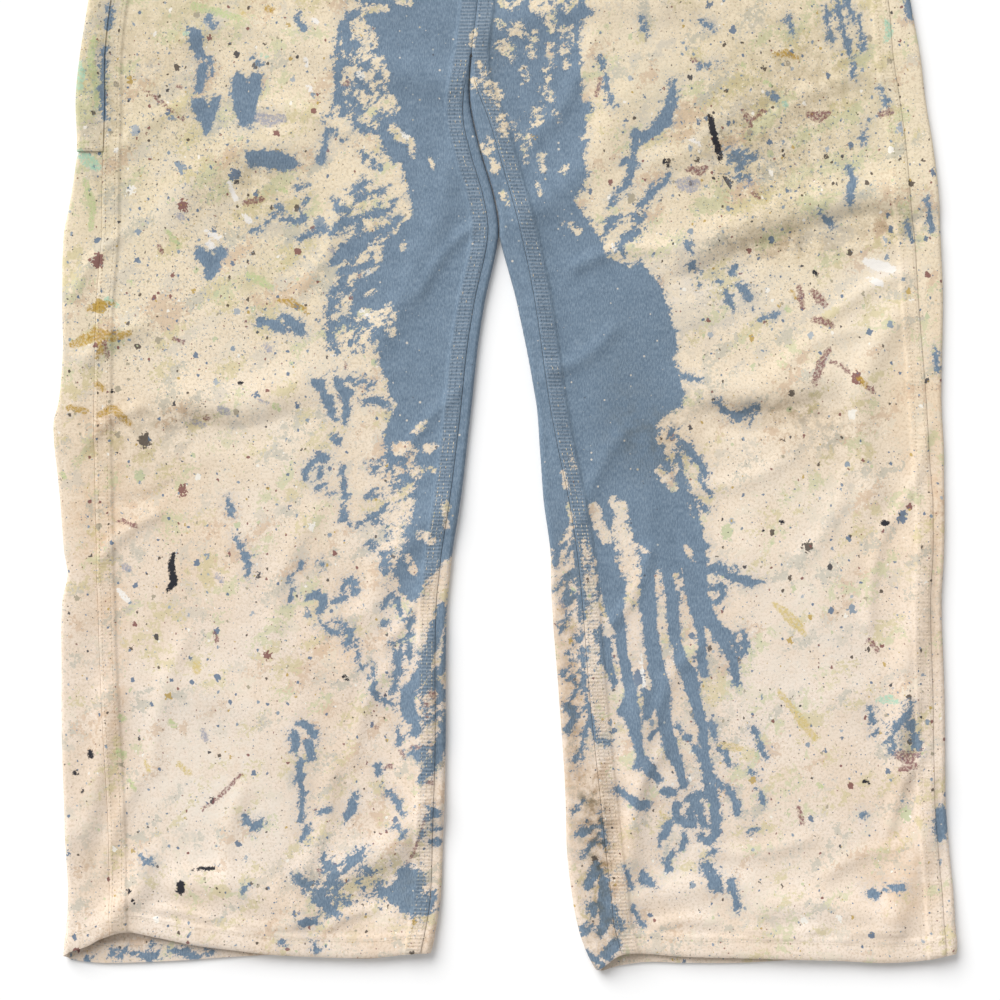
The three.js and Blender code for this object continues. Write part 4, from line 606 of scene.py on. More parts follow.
# Single marks of other paints, each a run of x, y, width
MARKS = {
    "mustard": (
        ((74, 345, 7), (88, 340, 12), (100, 334, 9), (112, 338, 11), (132, 334, 6)),
        ((96, 328, 5), (104, 350, 8), (98, 358, 4)), ((90, 309, 6), (102, 306, 9), (115, 304, 5)),
        ((97, 384, 5), (104, 389, 7)), ((70, 408, 6), (86, 411, 7)),
        ((99, 416, 5), (114, 409, 9), (131, 424, 6)), ((277, 300, 4), (292, 303, 8), (306, 311, 5)),
        ((268, 10, 7), (273, 11, 6)), ((774, 56, 5), (786, 54, 8), (797, 60, 4)),
        ((858, 379, 6), (864, 386, 6)), ((790, 292, 4), (796, 298, 4)),
    ),
    "straw": (
        ((774, 604, 6), (784, 612, 9), (796, 624, 11), (803, 633, 6)),
        ((777, 690, 5), (792, 708, 7), (802, 722, 9), (814, 738, 6)), ((720, 746, 10), (739, 748, 7)),
        ((179, 763, 5), (190, 773, 6)), ((198, 664, 8), (198, 670, 8)), ((660, 812, 4), (668, 818, 5)),
        ((600, 604, 5), (606, 616, 5)), ((146, 760, 4), (150, 770, 5)), ((240, 12, 4), (246, 16, 4)),
    ),
    "maroon": (
        ((106, 342, 5), (109, 357, 5)), ((145, 90, 3), (163, 104, 4), (185, 121, 3)),
        ((160, 247, 4), (162, 253, 5)), ((179, 87, 5), (181, 88, 5)), ((246, 204, 6), (262, 200, 7)),
        ((359, 280, 5), (362, 283, 5)), ((206, 418, 6), (210, 419, 5)), ((174, 339, 4), (184, 343, 4)),
        ((688, 170, 6), (699, 172, 10), (707, 168, 5)), ((742, 112, 4), (748, 120, 7), (751, 127, 5)),
        ((808, 116, 7), (818, 118, 11), (828, 114, 6)), ((879, 116, 6), (889, 113, 7)),
        ((752, 194, 4), (758, 198, 5)), ((798, 288, 5), (800, 298, 7), (802, 308, 5)),
        ((812, 292, 7), (819, 300, 10), (825, 306, 5)), ((812, 320, 6), (824, 322, 8), (832, 327, 5)),
        ((828, 350, 5), (820, 364, 9), (813, 384, 6)), ((830, 362, 4), (844, 368, 5), (848, 375, 4)),
        ((868, 388, 6), (872, 391, 6)), ((893, 752, 7), (906, 757, 13), (917, 750, 8)),
        ((899, 768, 6), (912, 764, 8)), ((868, 640, 6), (877, 650, 5)), ((798, 808, 5), (802, 823, 5)),
        ((204, 809, 3), (224, 792, 4), (242, 773, 3)), ((338, 396, 4), (346, 402, 5)),
        ((600, 80, 5), (596, 96, 4)), ((692, 60, 4), (700, 66, 5)), ((120, 520, 4), (138, 526, 5)),
        ((214, 632, 4), (218, 640, 5)), ((431, 691, 7), (434, 694, 7)), ((425, 703, 6), (428, 705, 6)),
        ((412, 746, 5), (422, 747, 5)), ((426, 747, 5), (433, 748, 5)), ((400, 750, 4), (404, 756, 4)),
        ((385, 768, 4), (393, 765, 4)), ((374, 724, 4), (378, 727, 4)), ((428, 780, 5), (433, 781, 4)),
        ((428, 806, 2), (422, 830, 3), (412, 856, 3), (396, 876, 2)), ((320, 869, 5), (321, 872, 4)),
        ((360, 276, 5), (358, 286, 6)), ((345, 362, 3), (347, 368, 4)), ((348, 84, 7), (344, 88, 6)),
        ((670, 432, 6), (672, 438, 7)), ((764, 112, 5), (750, 122, 4)),
    ),
    "black": (
        ((709, 117, 4), (712, 130, 7), (716, 144, 7), (720, 161, 5)), ((813, 272, 4), (816, 277, 4)),
        ((664, 162, 4), (668, 166, 5)), ((883, 523, 7), (885, 524, 6)), ((780, 521, 4), (783, 523, 4)),
        ((760, 529, 3), (763, 530, 3)), ((863, 781, 5), (867, 782, 4)),
        ((173, 554, 5), (172, 568, 7), (175, 582, 8), (169, 590, 4)), ((345, 676, 5), (347, 678, 4)),
        ((91, 751, 6), (93, 755, 6)), ((76, 770, 5), (78, 773, 4)), ((84, 789, 4), (85, 792, 3)),
        ((182, 883, 9), (182, 889, 8)), ((194, 868, 3), (214, 867, 4)), ((130, 888, 4), (131, 890, 4)),
        ((135, 898, 4), (136, 900, 3)), ((240, 382, 4), (242, 384, 4)), ((113, 391, 3), (115, 392, 3)),
        ((712, 400, 3), (716, 402, 3)),
    ),
    "mint": (
        ((82, 156, 10), (90, 162, 13), (98, 168, 9)), ((80, 62, 6), (84, 78, 7), (82, 92, 4)),
        ((186, 34, 6), (190, 36, 5)), ((783, 104, 5), (786, 107, 4)),
        ((885, 24, 6), (888, 34, 8), (884, 44, 4)), ((878, 700, 6), (888, 698, 9), (894, 701, 6)),
        ((108, 300, 6), (118, 306, 5)), ((262, 56, 4), (268, 58, 4)),
    ),
    "green": (
        ((276, 406, 7), (279, 409, 6)), ((282, 190, 5), (286, 192, 5)), ((64, 474, 6), (66, 478, 5)),
        ((786, 308, 6), (789, 311, 5)), ((817, 784, 5), (821, 787, 5)), ((122, 716, 6), (125, 719, 6)),
        ((171, 722, 7), (175, 725, 6)), ((120, 751, 8), (124, 754, 7)),
        ((96, 40, 6), (92, 60, 8), (98, 88, 6), (100, 108, 7)),
        ((86, 182, 6), (94, 206, 8), (92, 230, 5)), ((250, 276, 7), (262, 282, 9), (272, 288, 6)),
        ((196, 8, 10), (214, 12, 8), (240, 20, 6)), ((168, 232, 5), (180, 246, 6)),
        ((130, 780, 5), (136, 788, 5)), ((740, 64, 4), (744, 67, 4)), ((130, 282, 4), (134, 285, 4)),
        ((760, 80, 4), (770, 86, 5)),
    ),
    "white": (
        ((244, 216, 5), (250, 222, 6)), ((210, 244, 7), (214, 248, 6)), ((314, 21, 5), (318, 24, 5)),
        ((309, 88, 5), (312, 91, 5)), ((206, 232, 4), (220, 238, 5)),
        ((864, 262, 6), (876, 266, 12), (892, 270, 7)), ((868, 280, 5), (880, 284, 7)),
        ((230, 184, 4), (236, 200, 5)), ((306, 60, 4), (308, 70, 3)), ((366, 268, 4), (372, 280, 5)),
        ((360, 310, 5), (370, 318, 4)), ((398, 118, 3), (402, 124, 3)), ((612, 246, 4), (616, 252, 4)),
        ((640, 655, 3), (644, 690, 3)), ((480, 72, 3), (484, 96, 3)), ((640, 300, 3), (648, 304, 3)),
        ((560, 420, 3), (562, 424, 3)), ((120, 590, 5), (128, 600, 5)), ((690, 140, 4), (700, 146, 4)),
    ),
    "lilac": (
        ((681, 185, 12), (690, 186, 16), (696, 184, 10)), ((218, 577, 6), (222, 580, 6)),
        ((180, 216, 6), (184, 219, 6)), ((266, 346, 7), (270, 350, 7)), ((222, 410, 8), (228, 412, 8)),
        ((125, 566, 7), (129, 569, 7)), ((204, 732, 7), (206, 737, 8)),
        ((258, 118, 10), (270, 122, 14), (284, 120, 8)), ((192, 420, 5), (204, 426, 6)),
        ((560, 600, 5), (566, 610, 5)), ((744, 180, 4), (752, 186, 4)), ((260, 400, 4), (268, 404, 4)),
        ((330, 250, 5), (340, 256, 5)),
    ),
}
PAINT_FIELDS = ("blue", "ragged", "olive", "dirt", "peach", "pale", "spatter", "seam", "inside", *MARKS)
# The underside was never photographed: a few smears from sitting, and marks round its hems
HIDDEN_DRIPS = (
    ((330, 500, 22), (336, 580, 16), (342, 660, 8), (340, 700, 8)),
    ((300, 540, 14), (304, 620, 9), (300, 650, 9)),
    ((430, -150, 16), (470, -176, 30), (520, -168, 22), (566, -190, 9)),
    ((450, -130, 10), (500, -140, 16), (540, -134, 8)), ((700, 200, 14), (716, 240, 22), (724, 280, 14)),
    ((560, -230, 9), (590, -250, 12), (620, -246, 6)),
    ((720, 280, 12), (728, 340, 9), (726, 400, 8), (734, 420, 10)),
    ((180, 700, 10), (200, 716, 7), (230, 722, 6)), ((820, 620, 9), (836, 660, 7), (840, 700, 9)),
    ((880, 300, 8), (884, 350, 6)), ((140, 200, 12), (150, 240, 8)), ((86, 962, 6), (92, 954, 6)),
    ((112, 951, 7), (119, 957, 6)), ((128, 950, 6), (150, 957, 7)), ((153, 945, 6), (160, 955, 7)),
    ((172, 949, 6), (198, 957, 9)), ((204, 944, 6), (212, 952, 6)), ((66, 960, 4), (70, 950, 4)),
)
# Above the photo's edge the blue thins out up the lap in dry strokes, and a few lie on the front
UPPER_DRIPS = (
    ((360, -20, 12), (366, -80, 14), (362, -130, 7)), ((384, -60, 18), (392, -140, 14), (398, -190, 6)),
    ((410, -70, 26), (418, -170, 20), (414, -250, 9)),
    ((438, -70, 24), (444, -190, 16), (452, -290, 10), (450, -330, 5)),
    ((466, -60, 22), (472, -150, 16), (468, -220, 7)), ((494, -70, 20), (500, -140, 14), (506, -190, 6)),
    ((524, -60, 24), (532, -150, 16), (528, -210, 7)), ((552, -60, 20), (560, -130, 14), (568, -170, 6)),
    ((580, -30, 14), (586, -80, 9), (590, -110, 5)), ((600, -180, 12), (606, -220, 8), (602, -250, 9)),
    ((330, -160, 9), (344, -190, 8), (340, -220, 6)), ((690, -110, 10), (700, -150, 8), (696, -170, 9)),
    ((280, -60, 10), (288, -96, 7)), ((740, -40, 8), (748, -80, 9)), ((520, -300, 9), (530, -340, 7)),
    ((420, -470, 10), (436, -520, 12), (430, -560, 6)), ((560, -600, 9), (580, -640, 12), (576, -670, 6)),
    ((400, -640, 8), (410, -660, 10)), ((610, -470, 8), (618, -500, 7)),
)


def paint_fields(x, up, hidden=False):
    """The fields that the cloth's finish reads, at places given in millimetres."""
    px = np.asarray(x, float) / MM_PER_PIXEL + PHOTO_MIDDLE_X
    py = PHOTO_HEM_LINE_Y - np.asarray(up, float) / MM_PER_PIXEL
    if hidden:
        outlines, drips = (), HIDDEN_DRIPS
    else:
        outlines = (BLUE_ON_RIGHT_LEG, BLUE_ON_LEFT_LEG) + BLUE_PATCHES
        drips = BLUE_DRIPS + UPPER_DRIPS
    blue = np.full(px.shape, -60.0)
    for outline in outlines:
        blue = np.maximum(blue, outline_distance(px, py, outline))
    blue = np.maximum(blue, drip_distances(px, py, drips))
    ragged = 0.55 + spread(px, py, RAGGED_PLACES)
    if hidden:
        blue = np.clip(blue * MM_PER_PIXEL, -14, 20)
    else:
        blue = np.minimum(blue, -drip_distances(px, py, BLUE_GAPS))
        blue = np.clip(blue * MM_PER_PIXEL, -14, 20) + spread(px, py, BLUE_SHIFTS)
    fields = {"blue": blue, "ragged": ragged}
    for name, places in (("olive", OLIVE_PLACES), ("dirt", DIRT_AND_SHADE_PLACES), ("peach", PEACH_PLACES),
                         ("pale", PALE_PLACES), ("spatter", SPATTER_PLACES)):
        fields[name] = spread(px, py, places)
    fields["spatter"] = fields["spatter"] + 0.35
    for name, marks in MARKS.items():
        fields[name] = np.full(px.shape, -8.0)
        if not hidden:
            fields[name] = np.maximum(fields[name], drip_distances(px, py, marks) * MM_PER_PIXEL)
    fields["seam"] = np.zeros(px.shape)
    fields["inside"] = np.zeros(px.shape)
    return fields


# Cream cotton duck, unbleached and washed soft, under years of house paint. The bare cloth is dull
# and woven at about 20 threads a centimetre, drawn three times as coarse so that it shows; the blue
# is a flat emulsion, smoother than the cloth; the spatter is in cells, each with one drop or none.
# Columns: cell, least and most radius in millimetres, chance, most stretch up the leg
SPATTER = (
    (34, 1.4, 5.0, 0.3, 0.8), (15, 0.8, 2.6, 0.4, 0.85), (7.5, 0.4, 1.35, 0.5, 0.9),
    (3.6, 0.24, 0.7, 0.62, 1.0),
)
SPATTER_COLOURS = (
    (0.0, "#5F748C"), (0.24, "#8393A2"), (0.38, "#4F453D"), (0.5, "#80524D"), (0.6, "#A59B86"),
    (0.7, "#BFC39E"), (0.78, "#B99C56"), (0.84, "#EFEAE0"), (0.91, "#A3ABB2"), (0.965, "#35353D"),
)
STAINS_AND_SHADE = (("pale", "#E6DCCE", 1.3), ("peach", "#D3AF88", 0.9), ("olive", "#C0B88F", 0.85))
FLECK_COLOURS = ((0.0, "#DDD3C3"), (0.5, "#B9BBB6"), (0.74, "#4E545E"), (0.9, "#CDBE9E"))
SMEAR_COLOURS = ((0.0, "#7C8B9C"), (0.5, "#8F8A7C"), (0.56, "#74859A"))
DAB_COLOURS = (
    (0.0, "#C9BE8E"), (0.22, "#CDC5B6"), (0.4, "#C3C69C"), (0.56, "#CBAF93"), (0.7, "#DDD2BE"),
    (0.84, "#B4B3A6"),
)
MARK_COLOURS = {
    "straw": "#CDB878", "green": "#B9C48F", "lilac": "#9C9CA8", "mint": "#A6CDB4", "mustard": "#B38E2F",
    "maroon": "#7D4F4F", "white": "#ECE7E0", "black": "#22222A",
}
WORN_MARKS = ("straw", "green", "lilac", "mint", "mustard", "maroon")


def colour(code):
    """A colour's sRGB hex value as linear red, green, blue and alpha."""
    parts = [int(code[i : i + 2], 16) / 255 for i in (1, 3, 5)]
    return [c / 12.92 if c <= 0.04045 else ((c + 0.055) / 1.055) ** 2.4 for c in parts] + [1.0]


def put(tree, kind, settings=None, **inputs):
    """Adds a node; an input is given by its name, or by _ and its number, as a value or a link."""
    made = tree.nodes.new(kind)
    for key, value in (settings or {}).items():
        setattr(made, key, value)
    for key, value in inputs.items():
        socket = made.inputs[int(key[1:])] if key[0] == "_" else made.inputs[key]
        if isinstance(value, bpy.types.NodeSocket):
            tree.links.new(value, socket)
        else:
            socket.default_value = value
    return made


def painted_canvas(name, ground="#E4D1BD", drift_to="#EBDCCD"):
    material = bpy.data.materials.new(name)
    material.use_nodes = True
    tree = material.node_tree
    tree.nodes.clear()

    def reckon(operation, a, b=0.0, c=0.0, clamp=False):
        made = put(tree, "ShaderNodeMath", {"operation": operation, "use_clamp": clamp}, _0=a, _1=b, _2=c)
        return made.outputs[0]

    def ramp(value, low, high, start=0.0, end=1.0):
        return put(tree, "ShaderNodeMapRange", _0=value, _1=low, _2=high, _3=start, _4=end).outputs[0]

    def mixed(share, under, over, how="MIX"):
        over = colour(over) if isinstance(over, str) else over
        under = colour(under) if isinstance(under, str) else under
        settings = {"data_type": "RGBA", "blend_type": how}
        return put(tree, "ShaderNodeMix", settings, _0=share, _6=under, _7=over).outputs[2]

    def noise(vector, size, detail, rough):
        return put(
            tree, "ShaderNodeTexNoise", {"noise_dimensions": "2D"},
            Vector=vector, Scale=1 / size, Detail=detail, Roughness=rough,
        )

    def choice(value, colours):
        made = put(tree, "ShaderNodeValToRGB", Fac=value)
        made.color_ramp.interpolation = "CONSTANT"
        made.color_ramp.elements.remove(made.color_ramp.elements[-1])
        for position, code in colours:
            stop = made.color_ramp.elements[0] if position == 0 else made.color_ramp.elements.new(position)
            stop.color = colour(code)
        return made.outputs[0]

    def moved(vector, scale, by=(0.0, 0.0, 0.0)):
        made = put(tree, "ShaderNodeVectorMath", {"operation": "MULTIPLY_ADD"}, _0=vector, _1=scale, _2=by)
        return made.outputs[0]

    def scaled(vector, by):
        return put(tree, "ShaderNodeVectorMath", {"operation": "SCALE"}, _0=vector, Scale=by).outputs[0]

    def plus(vector, other):
        return put(tree, "ShaderNodeVectorMath", {"operation": "ADD"}, _0=vector, _1=other).outputs[0]

    def cells(vector, size):
        settings = {"voronoi_dimensions": "2D"}
        return put(tree, "ShaderNodeTexVoronoi", settings, Vector=vector, Scale=1 / size)

    place = scaled(put(tree, "ShaderNodeTexCoord").outputs["Object"], 1 / MM)
    field = {}
    for key in PAINT_FIELDS:
        field[key] = put(tree, "ShaderNodeAttribute", {"attribute_name": key}).outputs["Fac"]
    outside = reckon("SUBTRACT", 1.0, field["inside"])

    cloudy = noise(place, 55, 3.0, 0.65).outputs[0]
    mottle = noise(place, 10, 4.0, 0.7).outputs[0]
    grain = noise(place, 2.0, 3.0, 0.65).outputs[0]
    along = moved(place, (1.0, 0.3, 1.0))
    threads = noise(along, 0.9, 2.0, 0.6).outputs[0]
    wobble = noise(place, 2.6, 2.0, 0.5).outputs["Color"]
    wobble = moved(wobble, (1.0, 1.0, 1.0), (-0.5, -0.5, -0.5))

    # The cloth's own colour, cream with a paler drift and darker slubs, yellower up the thighs
    axes = put(tree, "ShaderNodeSeparateXYZ", Vector=place)
    base = mixed(ramp(cloudy, 0.35, 0.65), ground, drift_to)
    yellowed = ramp(axes.outputs[1], ORIGIN_Y + 240, ORIGIN_Y + 520, 0.0, 0.8)
    base = mixed(reckon("MULTIPLY", yellowed, outside), base, "#E9DABD")
    base = mixed(ramp(grain, 0.34, 0.52, 0.42, 0.0), base, "#B7A282")

    # Stains, and a peach tint painted as shade down the strip beside the left inseam, sink into the weave:
    # each is a soft place broken up by the mottle
    for key, code, sharp in STAINS_AND_SHADE:
        share = reckon("MULTIPLY", field[key], ramp(mottle, 0.38, 0.62, 0.3, sharp), clamp=True)
        base = mixed(share, base, code)

    # Old dabs of pale colours, worn thin, and dry smears of blue and grey where hands were wiped
    leaning = put(tree, "ShaderNodeMapping", _0=place, Rotation=(0.0, 0.0, math.radians(-38))).outputs[0]
    leaning = moved(leaning, (0.45, 1.0, 1.0))
    strokes = noise(leaning, 6.5, 5.0, 0.72).outputs[0]
    patch = cells(plus(leaning, scaled(wobble, 16.0)), 10)
    dice = put(tree, "ShaderNodeSeparateColor", Color=patch.outputs["Color"])
    thick = reckon("MULTIPLY_ADD", field["spatter"], 0.22, mottle)
    share = reckon("MULTIPLY", ramp(thick, 0.57, 0.63), ramp(dice.outputs[2], 0.45, 0.5, 0.0, 0.6))
    base = mixed(reckon("MULTIPLY", share, outside), base, choice(dice.outputs[0], DAB_COLOURS))
    crumbs = noise(place, 3.4, 5.0, 0.78).outputs[0]
    smear = reckon("MULTIPLY_ADD", field["spatter"], 0.12, crumbs)
    smear = reckon("MULTIPLY", ramp(smear, 0.71, 0.75, 0.0, 0.75), outside)
    base = mixed(smear, base, choice(mottle, SMEAR_COLOURS))

    # Spatter: one drop or none in each cell, wobbled out of round
    raised = None
    for k, (cell, least, most, chance, stretch) in enumerate(SPATTER):
        swing = scaled(wobble, most * 1.6)
        at = moved(plus(place, swing), (1.0, stretch, 1.0), (37.0 * k, 11.0 * k, 0.0))
        drops = cells(at, cell)
        dice = put(tree, "ShaderNodeSeparateColor", Color=drops.outputs["Color"])
        size = reckon("POWER", dice.outputs[0], 2.2)
        size = reckon("MULTIPLY_ADD", size, (most - least) / cell, least / cell)
        drop = reckon("SUBTRACT", size, drops.outputs["Distance"])
        drop = reckon("MULTIPLY", drop, cell * 4.0, clamp=True)
        odds = reckon("MULTIPLY", field["spatter"], chance * 2.0)
        drop = reckon("MULTIPLY", drop, reckon("LESS_THAN", dice.outputs[2], odds))
        drop = reckon("MULTIPLY", drop, outside)
        base = mixed(reckon("MULTIPLY", drop, 0.92), base, choice(dice.outputs[1], SPATTER_COLOURS))
        if k < 2:
            raised = drop if raised is None else reckon("MAXIMUM", raised, drop)

    # Marks of single colours, each a field of its own with a frayed edge
    frayed = reckon("MULTIPLY_ADD", crumbs, 7.0, -3.5)
    worn = ramp(grain, 0.4, 0.54, 0.22, 0.88)
    marks = None
    for key, code in MARK_COLOURS.items():
        mark = reckon("ADD", field[key], frayed)
        mark = reckon("MULTIPLY", reckon("MULTIPLY_ADD", mark, 1.8, 0.5, clamp=True), outside)
        if key in WORN_MARKS:
            mark = reckon("MULTIPLY", mark, worn)
        base = mixed(mark, base, code)
        marks = mark if marks is None else reckon("MAXIMUM", marks, mark)

    # The blue house paint: its field, torn at its edge as far as the paint is ragged there, with
    # flakes of it scattered a little way out; on the cloth it is worn paler along the threads
    far = reckon("MULTIPLY", reckon("MINIMUM", field["blue"], 0.0), 0.42)
    far = reckon("ADD", far, reckon("MAXIMUM", field["blue"], 0.0))
    coarse = reckon("MULTIPLY", reckon("MULTIPLY_ADD", strokes, 13.0, -6.7), field["ragged"])
    fine = reckon("MULTIPLY_ADD", crumbs, 12.0, -5.8)
    fine = reckon("MULTIPLY", fine, reckon("MULTIPLY_ADD", field["ragged"], 0.85, 0.1))
    blue = reckon("ADD", reckon("ADD", coarse, fine), far)
    washed = reckon("MULTIPLY", ramp(blue, -3.4, 0.0, 0.0, 0.4), ramp(grain, 0.42, 0.6))
    base = mixed(reckon("MULTIPLY", washed, outside), base, "#8793A0")
    blue = reckon("MULTIPLY", reckon("MULTIPLY_ADD", blue, 1.5, 0.5, clamp=True), outside)
    coat = mixed(ramp(mottle, 0.3, 0.7), "#677B8E", "#768A9D")
    coat = mixed(ramp(threads, 0.36, 0.5, 0.5, 0.0), coat, "#55687B")
    coat = mixed(ramp(threads, 0.52, 0.7, 0.0, 0.45), coat, "#93A2B0")
    coat = mixed(ramp(strokes, 0.6, 0.74, 0.0, 0.4), coat, "#8797A6")
    flecks = cells(moved(place, (1.0, 1.0, 1.0), (9.0, 5.0, 0.0)), 5)
    dice = put(tree, "ShaderNodeSeparateColor", Color=flecks.outputs["Color"])
    size = reckon("MULTIPLY_ADD", reckon("POWER", dice.outputs[0], 5.0), 0.2, 0.03)
    fleck = reckon("MULTIPLY", reckon("SUBTRACT", size, flecks.outputs["Distance"]), 12.0, clamp=True)
    odds = ramp(cloudy, 0.4, 0.62, 0.03, 0.5)
    fleck = reckon("MULTIPLY", fleck, reckon("LESS_THAN", dice.outputs[2], odds))
    coat = mixed(reckon("MULTIPLY", fleck, 0.8), coat, choice(dice.outputs[1], FLECK_COLOURS))
    base = mixed(blue, base, coat)

    # Ground-in dirt, and painted shade in bands along creases and down the strips beside the inseams, lies
    # over everything, cloth and paint alike
    grime_and_shade = reckon("MULTIPLY", field["dirt"], ramp(mottle, 0.36, 0.66, 0.2, 1.15), clamp=True)
    base = mixed(grime_and_shade, base, "#B3A591", "MULTIPLY")

    # The felled seams have drawn up into small cross ribs, with painted shade between them and a painted
    # highlight on their tops
    ribs = reckon("MULTIPLY_ADD", axes.outputs[1], 2 * math.pi / 2.7, reckon("MULTIPLY", threads, 3.0))
    ribs = reckon("MULTIPLY", reckon("SINE", ribs), field["seam"])
    base = mixed(ramp(ribs, -1.0, -0.1, 0.16, 0.0), base, "#6D665C", "MULTIPLY")
    base = mixed(ramp(ribs, 0.3, 1.0, 0.0, 0.12), base, "#F2E8DA")

    # Threads, dulled where paint fills them, and the paint's own thickness
    warp = reckon("SINE", reckon("MULTIPLY", axes.outputs[0], 2 * math.pi / 1.7))
    weft = reckon("SINE", reckon("MULTIPLY", axes.outputs[1], 2 * math.pi / 1.7))
    paint = reckon("MAXIMUM", reckon("MAXIMUM", raised, marks), blue)
    relief = reckon("MULTIPLY", reckon("MULTIPLY", warp, weft), 0.03)
    relief = reckon("MULTIPLY_ADD", grain, 0.3, relief)
    relief = reckon("MULTIPLY_ADD", ribs, 0.08, relief)
    bump = put(tree, "ShaderNodeBump", Height=relief, Distance=MM, Strength=0.9).outputs[0]
    shader = put(tree, "ShaderNodeBsdfPrincipled", **{
        "Base Color": base, "Roughness": ramp(paint, 0.0, 1.0, 0.94, 0.7), "Normal": bump,
        "Sheen Weight": 0.08, "Sheen Roughness": 0.6, "Specular IOR Level": 0.3,
    })
    put(tree, "ShaderNodeOutputMaterial", Surface=shader.outputs[0])
    return material


canvas = painted_canvas("cotton_duck_canvas_with_house_paint")


# The front of each leg. A panel of canvas from the hem to the waistband, cut wide in the leg; its
# long edges are turned under and lapped over the back panel's in flat felled seams, which stand up
# as ridges, and its hem is turned up double.
FRONT_SPACING = 2.56
UPPER_SPACING = 3.8
THIGH_TOP = 760
FELL_COLUMNS = np.array([0, 0.7, 1.6, 3.6, 6, 8.4, 10.6, 11.8, 12.6, 13.4, 15.2])
COLUMNS_AT_FELLS = 10
HEM_ROWS = np.array([0, 0.8, 2, 4.4, 7, 9.6, 12, 13.8, 15, 16.4])


def deselect():
    for other in bpy.context.selected_objects:
        other.select_set(False)


def build_cloth(name, point, out, over, under, fields, cloth=None):
    """A closed wall of cloth from rows and columns of points, the way out at each and its depth
    either side; cloth marks the cells that are there. Each field becomes an attribute."""
    rows, columns = point.shape[:2]
    cells = np.ones((rows - 1, columns - 1), bool) if cloth is None else cloth
    number = np.arange(rows * columns).reshape(rows, columns)
    low, high = number[:-1, :-1], number[1:, 1:]
    right, left = number[:-1, 1:], number[1:, :-1]
    count = rows * columns
    outer = np.stack([low, right, high, left], -1)[cells]
    faces = [outer, outer[:, ::-1] + count]
    padded = np.pad(cells, 1)
    beside = (
        (~padded[:-2, 1:-1], low, right), (~padded[1:-1, 2:], right, high),
        (~padded[2:, 1:-1], high, left), (~padded[1:-1, :-2], left, low),
    )
    for is_open, start, end in beside:
        at = cells & is_open
        faces.append(np.stack([end[at], start[at], start[at] + count, end[at] + count], -1))
    faces = np.concatenate(faces)
    places = np.concatenate([
        (point + out * over[..., None]).reshape(-1, 3), (point - out * under[..., None]).reshape(-1, 3)
    ])
    places = (places + (ORIGIN_X, ORIGIN_Y, 0)) * MM
    used, faces = np.unique(faces, return_inverse=True)
    mesh = bpy.data.meshes.new(name)
    mesh.from_pydata(places[used].tolist(), [], faces.reshape(-1, 4).tolist())
    for field in PAINT_FIELDS:
        both = np.concatenate([fields[field].ravel(), fields[field].ravel()])
        if field == "inside":
            both[count:] = smooth((point[..., 1].ravel() - HEM_DEPTH) / 3)
        values = both[used].astype(np.float32)
        mesh.attributes.new(field, "FLOAT", "POINT").data.foreach_set("value", values)
    mesh.update()
    piece = bpy.data.objects.new(name, mesh)
    bpy.context.collection.objects.link(piece)
    deselect()
    piece.select_set(True)
    bpy.context.view_layer.objects.active = piece
    bpy.ops.object.shade_smooth_by_angle(angle=math.radians(42))
    return piece


def fell_depth(distance):
    """Depth of the cloth at a distance from a felled seam's edge."""
    lapped = 1 - smooth((distance - FELL_WIDTH) / 1.6)
    return CLOTH + (FELL_CLOTH - CLOTH) * lapped - 0.5 * (1 - smooth(distance / 1.4))


def leg_rows(spacing):
    """Heights of a leg panel's rows: close at the hem, and wider apart above the thighs."""
    return np.concatenate([
        HEM_ROWS, np.arange(HEM_ROWS[-1] + spacing, CROTCH - 1, spacing),
        [CROTCH], np.arange(CROTCH + spacing, THIGH_TOP, spacing),
        np.arange(THIGH_TOP + UPPER_SPACING, BAND_BOTTOM - 3, UPPER_SPACING), [BAND_BOTTOM - SEAM_GAP],
    ])


def hem_round(up):
    """The hem's folded edge is round, and its upper, stitched edge is a low step."""
    stitched = 0.4 * bell(up - HEM_DEPTH + 2.4, 2.2)
    return 0.9 * (1 - smooth((up - HEM_DEPTH) / 1.6)) - 0.9 * (1 - smooth(up / 1.8)) - stitched


def make_leg_front(leg, name):
    up = leg_rows(FRONT_SPACING)[:, None]
    hand = leg.hand
    seam_in = leg.inseam(up) + hand * SEAM_GAP
    seam_out = leg.outseam(up) - hand * SEAM_GAP
    width = np.abs(seam_out - seam_in)
    middle = np.linspace(0, 1, int(width.max() / FRONT_SPACING) - COLUMNS_AT_FELLS)[None, 1:-1]
    reach = FELL_COLUMNS[-1]
    inward = np.concatenate([
        FELL_COLUMNS + 0 * width, reach + middle * (width - 2 * reach), width - FELL_COLUMNS[::-1]
    ], axis=1)
    x = seam_in + hand * inward
    up = up + 0 * x
    over = np.maximum(fell_depth(inward), fell_depth(width - inward)) + hem_round(up)
    over = over + fine_height(leg, x, up)
    over = np.maximum(over, 0.5)
    under = np.where(up < HEM_DEPTH, HEM_CLOTH - CLOTH, 0) - np.minimum(fine_height(leg, x, up), 0.8)
    lift = hem_lift(FRONT_HEM, x, up)
    point = np.stack([x, up + lift, front_height(leg, x, up)], -1)
    out = np.broadcast_to(np.array([0.0, 0, 1]), point.shape)
    fields = paint_fields(x, up + lift)
    from_edge = np.minimum(inward, width - inward)
    fields["seam"] = smooth(from_edge / 1.2) * (1 - smooth((from_edge - FELL_WIDTH + 1) / 1.4))
    fields["seam"] = fields["seam"] * np.where(inward < width / 2, 1, 0.4)
    grids = [point, out, over, under] + [fields[key] for key in PAINT_FIELDS]
    if hand < 0:
        grids = [grid[:, ::-1] for grid in grids]
    fields = dict(zip(PAINT_FIELDS, grids[4:]))
    piece = build_cloth(name, *grids[:4], fields)
    piece.data.materials.append(canvas)
    return piece


